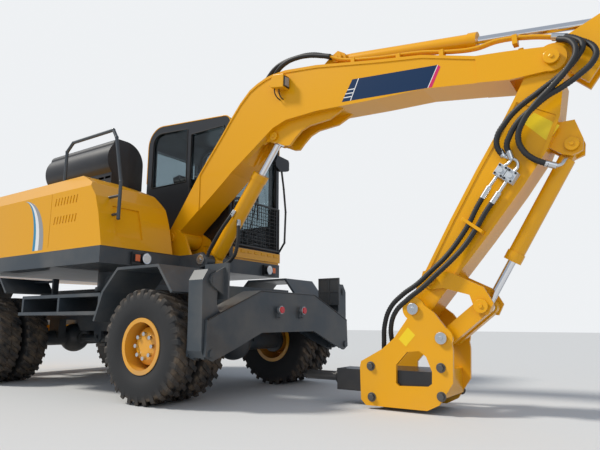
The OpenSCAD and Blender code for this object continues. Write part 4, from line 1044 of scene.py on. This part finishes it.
film = {"sink": 0.0004, "thick": 0.0008}
sideFilms = [
    # name, body, face y, finish, outline
    ("boom_panel", "boom", 0.152, "navyFilm", [(1.31, 2.518), (2.08, 2.447), (2.168, 2.616), (1.418, 2.7)]),
    (
        "panel_line", "boom", 0.1527, "whiteFilm",
        [(1.392, 2.511), (1.4, 2.51), (1.482, 2.692), (1.474, 2.693)],
    ),
    (
        "panel_edge", "boom", 0.152, "whiteFilm",
        [(2.08, 2.447), (2.086, 2.446), (2.174, 2.615), (2.168, 2.616)],
    ),
    (
        "panel_stripe", "boom", 0.152, "magentaFilm",
        [(2.086, 2.446), (2.116, 2.443), (2.192, 2.594), (2.174, 2.615)],
    ),
    (
        "panel_bar_a", "boom", 0.1527, "whiteFilm",
        [(1.328, 2.548), (1.405, 2.541), (1.409, 2.549), (1.333, 2.556)],
    ),
    (
        "panel_bar_b", "boom", 0.1527, "whiteFilm",
        [(1.346, 2.579), (1.419, 2.572), (1.423, 2.58), (1.351, 2.587)],
    ),
    (
        "panel_bar_c", "boom", 0.1527, "whiteFilm",
        [(1.365, 2.611), (1.434, 2.604), (1.438, 2.612), (1.37, 2.619)],
    ),
    (
        "dipper_plate", "dipper", 0.123, "signYellow",
        [(2.746, 2.02), (2.825, 2.078), (2.976, 1.951), (2.897, 1.849)],
    ),
    (
        "breaker_plate_blank", "breaker", 0.22, "signYellow",
        [(1.795, 0.515), (1.87, 0.6), (1.925, 0.545), (1.85, 0.462)],
    ),
]


def addFilm(name, outline, face, finish, body):
    parts = bothSides(lambda a, b: prismOf(outline, a, b), face - film["sink"], face + film["thick"])
    addParts(name, parts, finish, body)


for filmName, filmBody, filmFace, filmFinish, filmOutline in sideFilms:
    addFilm(filmName, filmOutline, filmFace, filmFinish, filmBody)

# curved stripe on the hood's right and left sides: three bands that narrow to a point
hoodStripe = {
    "tip": (-1.905, 1.855),
    "bottom": 1.325,
    "bands": [("blueFilm", -1.675, -1.63), ("whiteFilm", -1.63, -1.57), ("greyFilm", -1.57, -1.495)],
    "bow": 0.02,
    "face": 1.125,
    "steps": 12,
}


def stripeEdge(x, t):
    # a point on the edge that starts at x, where t runs from 0 at the bottom to 1 at the tip
    tipX, tipZ = hoodStripe["tip"]
    bottom = hoodStripe["bottom"]
    lean = (tipX - x) * (1 - math.cos(t * math.pi / 2)) + hoodStripe["bow"] * math.sin(math.pi * t)
    return (x + lean, bottom + (tipZ - bottom) * math.sin(t * math.pi / 2))


def makeHoodStripe():
    shares = [i / hoodStripe["steps"] for i in range(hoodStripe["steps"] + 1)]
    for finish, x0, x1 in hoodStripe["bands"]:
        outline = [stripeEdge(x0, t) for t in shares] + [stripeEdge(x1, t) for t in reversed(shares[:-1])]
        addFilm(f"hood_stripe_{finish}", outline, hoodStripe["face"], finish, "upper")


makeHoodStripe()
print("films made")

# lamps

frontLamps = {
    # x and y of the white lamp's front, x and y of the indicator's front
    "right": (-0.518, -0.66, -0.53, -0.755),
    "left": (-0.228, 0.86, -0.24, 0.955),
}
frontLampSize = {"z": 1.22, "lens": 0.043, "ring": 0.05, "indicator": (0.026, 0.031)}


def makeFrontLamps():
    whites, oranges, rings = [], [], []
    z, (wide, high) = frontLampSize["z"], frontLampSize["indicator"]
    for x, yWhite, xOrange, y in frontLamps.values():
        whites.append(discOf((yWhite, z), frontLampSize["lens"], x - 0.004, x + 0.006, "X", 32))
        rings.append(discOf((yWhite, z), frontLampSize["ring"], x - 0.002, x + 0.003, "X", 32))
        oranges.append(boxOf((xOrange - 0.002, y - wide, z - high), (xOrange + 0.005, y + wide, z + high)))
    addParts("lamp_lenses", whites, "whiteLens", "upper", 0.003)
    addParts("lamp_rings", rings, "lampSilver", "upper")
    addParts("indicator_lenses", oranges, "orangeLens", "upper", 0.003)


makeFrontLamps()

tailLamps = {"x": 0.66, "ys": (-0.19, 0.16), "z": 0.74, "radius": 0.03, "rim": 0.006, "reach": 0.05}


def makeTailLamps():
    lenses, bodies, brackets = [], [], []
    x, z, radius = tailLamps["x"], tailLamps["z"], tailLamps["radius"]
    front = x + tailLamps["reach"]
    for y in tailLamps["ys"]:
        bodies.append(discOf((y, z), radius + tailLamps["rim"], front - 0.03, front, "X", 28))
        lenses.append(discOf((y, z), radius, front - 0.002, front + 0.01, "X", 28))
        # a bent plate: foot on the beam, shelf, upright behind the lamp
        brackets.append(boxOf((x - sink, y - 0.022, z - 0.075), (x + 0.004, y + 0.022, z - 0.03)))
        brackets.append(boxOf((x, y - 0.018, z - 0.068), (front - 0.006, y + 0.018, z - 0.063)))
        brackets.append(boxOf((front - 0.022, y - 0.018, z - 0.068), (front - 0.016, y + 0.018, z - 0.02)))
    addParts("tail_lamp_lenses", lenses, "redLens", "chassis", 0.004)
    addParts("tail_lamp_bodies", bodies, "zincSteel", "chassis", 0.003)
    addParts("tail_lamp_brackets", brackets, "chassisPaint", "chassis")


makeTailLamps()
print("lamps made")

# cab

guard = {"x": -0.258, "y": (0.245, 1.057), "z": (1.456, 1.956), "wires": 20, "rows": 12, "radius": 0.0026}


def makeGuardMesh():
    x, radius, wires, rows = guard["x"], guard["radius"], guard["wires"], guard["rows"]
    (y0, y1), (z0, z1) = guard["y"], guard["z"]
    upright = discOf((x, y0), radius, z0, z1, "Z", 6)
    level = discOf((x + 2 * radius, z0), radius, y0, y1, "Y", 6)
    meshes = [
        copiesOf(upright, rowTree, "wireBlack", {"Count": wires + 1, "Step": (0, (y1 - y0) / wires, 0)}),
        copiesOf(level, rowTree, "wireBlack", {"Count": rows + 1, "Step": (0, 0, (z1 - z0) / rows)}),
    ]
    addMeshes("guard_mesh", meshes, "wireBlack", "upper")


makeGuardMesh()

cabTrim = {
    "sides": (0.206, 1.104),
    "rearArc": ((-1.41, 2.765), 0.23, 180, 85),
    "frontArc": ((-0.4, 2.797), 0.11, 85, 0),
    "rearEnd": (-1.64, 2.3),
    "frontEnd": (-0.29, 2.55),
    "radius": 0.007,
}


def makeGutters():
    bends = arcPoints(*cabTrim["rearArc"]) + arcPoints(*cabTrim["frontArc"])
    path = [cabTrim["rearEnd"], *bends, cabTrim["frontEnd"]]
    lines = [[(x, y, z) for x, z in path] for y in cabTrim["sides"]]
    tubes = [tubeMesh(line, cabTrim["radius"], "yellowPaint", 8, True) for line in lines]
    addMeshes("roof_gutters", tubes, "yellowPaint", "upper")


makeGutters()

# outlines of windows and the face each lies in: body, axis of the face, its place, outline
rearCorner = [(-1.398, 2.905), (-1.455, 2.9), (-1.51, 2.872), (-1.545, 2.82), (-1.555, 2.765)]
windowSeals = [
    ("upper", "X", -0.29, [(0.265, 1.48), (1.045, 1.48), (1.045, 2.79), (0.265, 2.79)]),
    ("upper", "X", -1.64, [(0.305, 2.1), (1.005, 2.1), (1.005, 2.74), (0.305, 2.74)]),
    ("upper", "Y", 0.205, [(-0.9, 1.8), (-0.375, 1.8), (-0.375, 2.755), (-0.405, 2.79), (-0.9, 2.79)]),
    ("upper", "Y", 0.205, [(-1.555, 2.23), (-0.96, 2.23), (-0.96, 2.868), *rearCorner]),
    ("upper", "Y", 1.105, [(-1.555, 2.02), (-1.18, 2.02), (-1.18, 2.886), *rearCorner]),
    ("cab_door", "Y", 1.105, [(-1.05, 1.78), (-0.42, 1.78), (-0.42, 2.7), (-1.05, 2.7)]),
]


def makeWindowSeals():
    groups = {}
    for body, axis, place, outline in windowSeals:
        # two points more than the outline, so that the last corner closes too
        closed = outline + outline[:2]
        points = [(place, a, b) if axis == "X" else (a, place, b) for a, b in closed]
        groups.setdefault(body, []).append(tubeMesh(points, cabTrim["radius"], "blackTrimAndShade", 8, True))
    for body, meshes in groups.items():
        addMeshes(f"window_seals_{body}", meshes, "blackTrimAndShade", body)


makeWindowSeals()

sillRibs = {"x": (-0.267, -0.259), "y": (0.27, 0.345), "z": (1.378, 1.41), "step": 0.118, "count": 7}
wiper = {
    "pivot": (-0.278, 0.5, 1.5),
    "joint": (-0.276, 0.69, 2.08),
    "blade": [(-0.28, 0.69, 1.78), (-0.28, 0.69, 2.38)],
}
mirrorGlass = {
    "x": (-0.1825, -0.1795),
    "shrink": 0.88,
    "middle": (0.985, 2.492),
    "outline": [
        (0.835, 2.49), (0.875, 2.58), (1.095, 2.572), (1.112, 2.545), (1.112, 2.45), (1.09, 2.432),
        (0.96, 2.4), (0.925, 2.402), (0.85, 2.44),
    ],
}
doorHandle = {"x": (-0.455, -0.425), "y": 1.104, "z": (1.5, 1.7), "reach": 0.034, "radius": 0.009}


def makeSillRibs():
    low, high = zip(sillRibs["x"], sillRibs["y"], sillRibs["z"])
    row = {"Count": sillRibs["count"], "Step": (0, sillRibs["step"], 0)}
    ribs = copiesOf(boxOf(low, high), rowTree, "yellowPaint", row)
    addPiece("sill_ribs", ribs, "yellowPaint", "upper", 0.004)


def makeWiper():
    x, y, z = wiper["pivot"]
    arm = tubeMesh([wiper["pivot"], wiper["joint"]], 0.006, "blackPaint", 8, True)
    blade = tubeMesh(wiper["blade"], 0.008, "blackPaint", 6, True)
    hub = meshOf("hub", *discOf((y, z), 0.018, x - 0.013, x + 0.01, "X", 16))
    addMeshes("wiper", [arm, blade, hub], "blackPaint", "upper")


def makeMirrorGlass():
    (y0, z0), shrink = mirrorGlass["middle"], mirrorGlass["shrink"]
    outline = [(y0 + (y - y0) * shrink, z0 + (z - z0) * shrink) for y, z in mirrorGlass["outline"]]
    addParts("mirror_glass", [prismOf(outline, *mirrorGlass["x"], "X")], "mirrorGlass", "upper")


def makeDoorHandle():
    (x0, x1), y, (low, high) = doorHandle["x"], doorHandle["y"], doorHandle["z"]
    x, out = (x0 + x1) / 2, y + doorHandle["reach"]
    route = [(x, y, low), (x, out, low + 0.02), (x, out, high - 0.02), (x, y, high)]
    bar = tubeMesh(route, doorHandle["radius"], "blackPaint", 10, True)
    plate = meshOf("plate", *boxOf((x0 - 0.02, y - sink, low - 0.03), (x1 + 0.02, y + 0.004, high + 0.03)))
    addMeshes("door_handle", [bar, plate], "blackPaint", "cab_door")


makeSillRibs()
makeWiper()
makeMirrorGlass()
makeDoorHandle()
print("cab made")

# hood trim on the left side: seam of the door, latches and slats

hoodTrim = {
    "face": 1.125,
    "seamWide": 0.006,
    "seam": [(-2.56, 1.35), (-1.8, 1.35), (-1.8, 1.82), (-2.56, 1.82)],
    "latches": [(-1.86, 1.58), (-2.5, 1.58)],
    "latchHalf": (0.026, 0.045),
    "latchProud": 0.01,
    "slatX": (-2.48, -2.18),
    "slatZ": 1.48,
    "slats": 7,
    "slatStep": 0.036,
    "slatHigh": 0.014,
    "slatProud": 0.01,
}


def makeHoodTrim():
    seams, latches, slats = [], [], []
    face, wide, loop = hoodTrim["face"], hoodTrim["seamWide"] / 2, hoodTrim["seam"]
    for ends in zip(loop, loop[1:] + loop[:1]):
        (x0, x1), (z0, z1) = [sorted(values) for values in zip(*ends)]
        low, high = face - film["sink"], face + film["thick"]
        seams.append(boxOf((x0 - wide, low, z0 - wide), (x1 + wide, high, z1 + wide)))
    a, b = hoodTrim["latchHalf"]
    proud = face + hoodTrim["latchProud"]
    for x, z in hoodTrim["latches"]:
        latches.append(boxOf((x - a, face - sink, z - b), (x + a, proud, z + b)))
        latches.append(discOf((x, z + 0.018), 0.01, face, proud + 0.006, sides=16))
    for i in range(hoodTrim["slats"]):
        z = hoodTrim["slatZ"] + i * hoodTrim["slatStep"]
        slat = [(face - sink, z), (face + hoodTrim["slatProud"], z), (face - sink, z + hoodTrim["slatHigh"])]
        slats.append(prismOf(slat, *hoodTrim["slatX"], "X"))
    addParts("hood_seams", seams, "blackTrimAndShade", "upper")
    addParts("hood_latches", latches, "blackPaint", "upper", 0.002)
    addParts("hood_slats", slats, "yellowPaint", "upper")


makeHoodTrim()

# work lamp on the boom's side: yellow guard, lens that looks forward, two short cables
boomLamp = {
    "guard": [(0.575, 2.835), (0.605, 2.8), (0.745, 2.772), (0.75, 2.905), (0.63, 2.925)],
    "guardY": (-0.248, -0.151),
    "frame": [(-0.242, 2.785), (-0.16, 2.785), (-0.16, 2.897), (-0.242, 2.888)],
    "frameX": (0.743, 0.755),
    "lens": [(-0.232, 2.797), (-0.168, 2.797), (-0.168, 2.886), (-0.232, 2.878)],
    "lensX": (0.753, 0.759),
    "cables": [
        [(0.625, -0.215, 2.8), (0.628, -0.215, 2.755), (0.64, -0.195, 2.715), (0.648, -0.153, 2.7)],
        [(0.665, -0.2, 2.792), (0.668, -0.2, 2.75), (0.676, -0.185, 2.712), (0.68, -0.153, 2.7)],
    ],
    "cableRadius": 0.006,
}


def makeBoomLamp():
    shield = prismOf(boomLamp["guard"], *boomLamp["guardY"])
    bevelled(addParts("boom_lamp_guard", [shield], "yellowPaint", "boom"), 0.006, 3)
    frame = prismOf(boomLamp["frame"], *boomLamp["frameX"], "X")
    addParts("boom_lamp", [frame], "blackPaint", "boom", 0.003)
    lens = prismOf(boomLamp["lens"], *boomLamp["lensX"], "X")
    addParts("boom_lamp_lens", [lens], "greyFilm", "boom", 0.002)
    cables = [tubeMesh(points, boomLamp["cableRadius"], "hoseRubber", 8) for points in boomLamp["cables"]]
    addMeshes("boom_lamp_cables", cables, "hoseRubber", "boom")


makeBoomLamp()

# dark sheets at the bottoms of the slots and of the seam in the housing's side: painted shade in these
# recesses
housingSlots = {
    "bottoms": (1.737, 1.557),
    "x": (-1.34, -1.0),
    "count": 8,
    "outline": [(0.0005, 0.0005), (0.013, 0.0005), (0.013, 0.075), (0.0005, 0.075)],
    "turn": 12,
    "y": (-1.1142, -1.1125),
}
housingSeam = ((-1.4026, -1.1212, 1.342), (-1.3974, -1.1195, 1.868))


def makeHousingShadows():
    x0, x1 = housingSlots["x"]
    step = (x1 - x0) / (housingSlots["count"] - 1)
    parts = [boxOf(*housingSeam)]
    for z in housingSlots["bottoms"]:
        for i in range(housingSlots["count"]):
            outline = turned((x0 + i * step, z), housingSlots["turn"], housingSlots["outline"])
            parts.append(prismOf(outline, *housingSlots["y"]))
    # each flat black sheet is painted shade inside a slot or the seam, not a part of the housing
    addParts("housing_shadows", parts, "blackTrimAndShade", "upper")


makeHousingShadows()

# dark strip along the top edge of the crossbeam's plate, outline along y and z
beamStrip = {
    "path": [(-1.045, 0.655), (-0.412, 0.894), (0.412, 0.894), (1.045, 0.655)], "x": 0.66, "radius": 0.006,
}


def makeBeamStrip():
    points = [(beamStrip["x"], y, z) for y, z in beamStrip["path"]]
    strip = tubeMesh(points, beamStrip["radius"], "blackPaint", 8, True)
    addPiece("beam_strip", strip, "blackPaint", "chassis")


makeBeamStrip()
print("trim made")
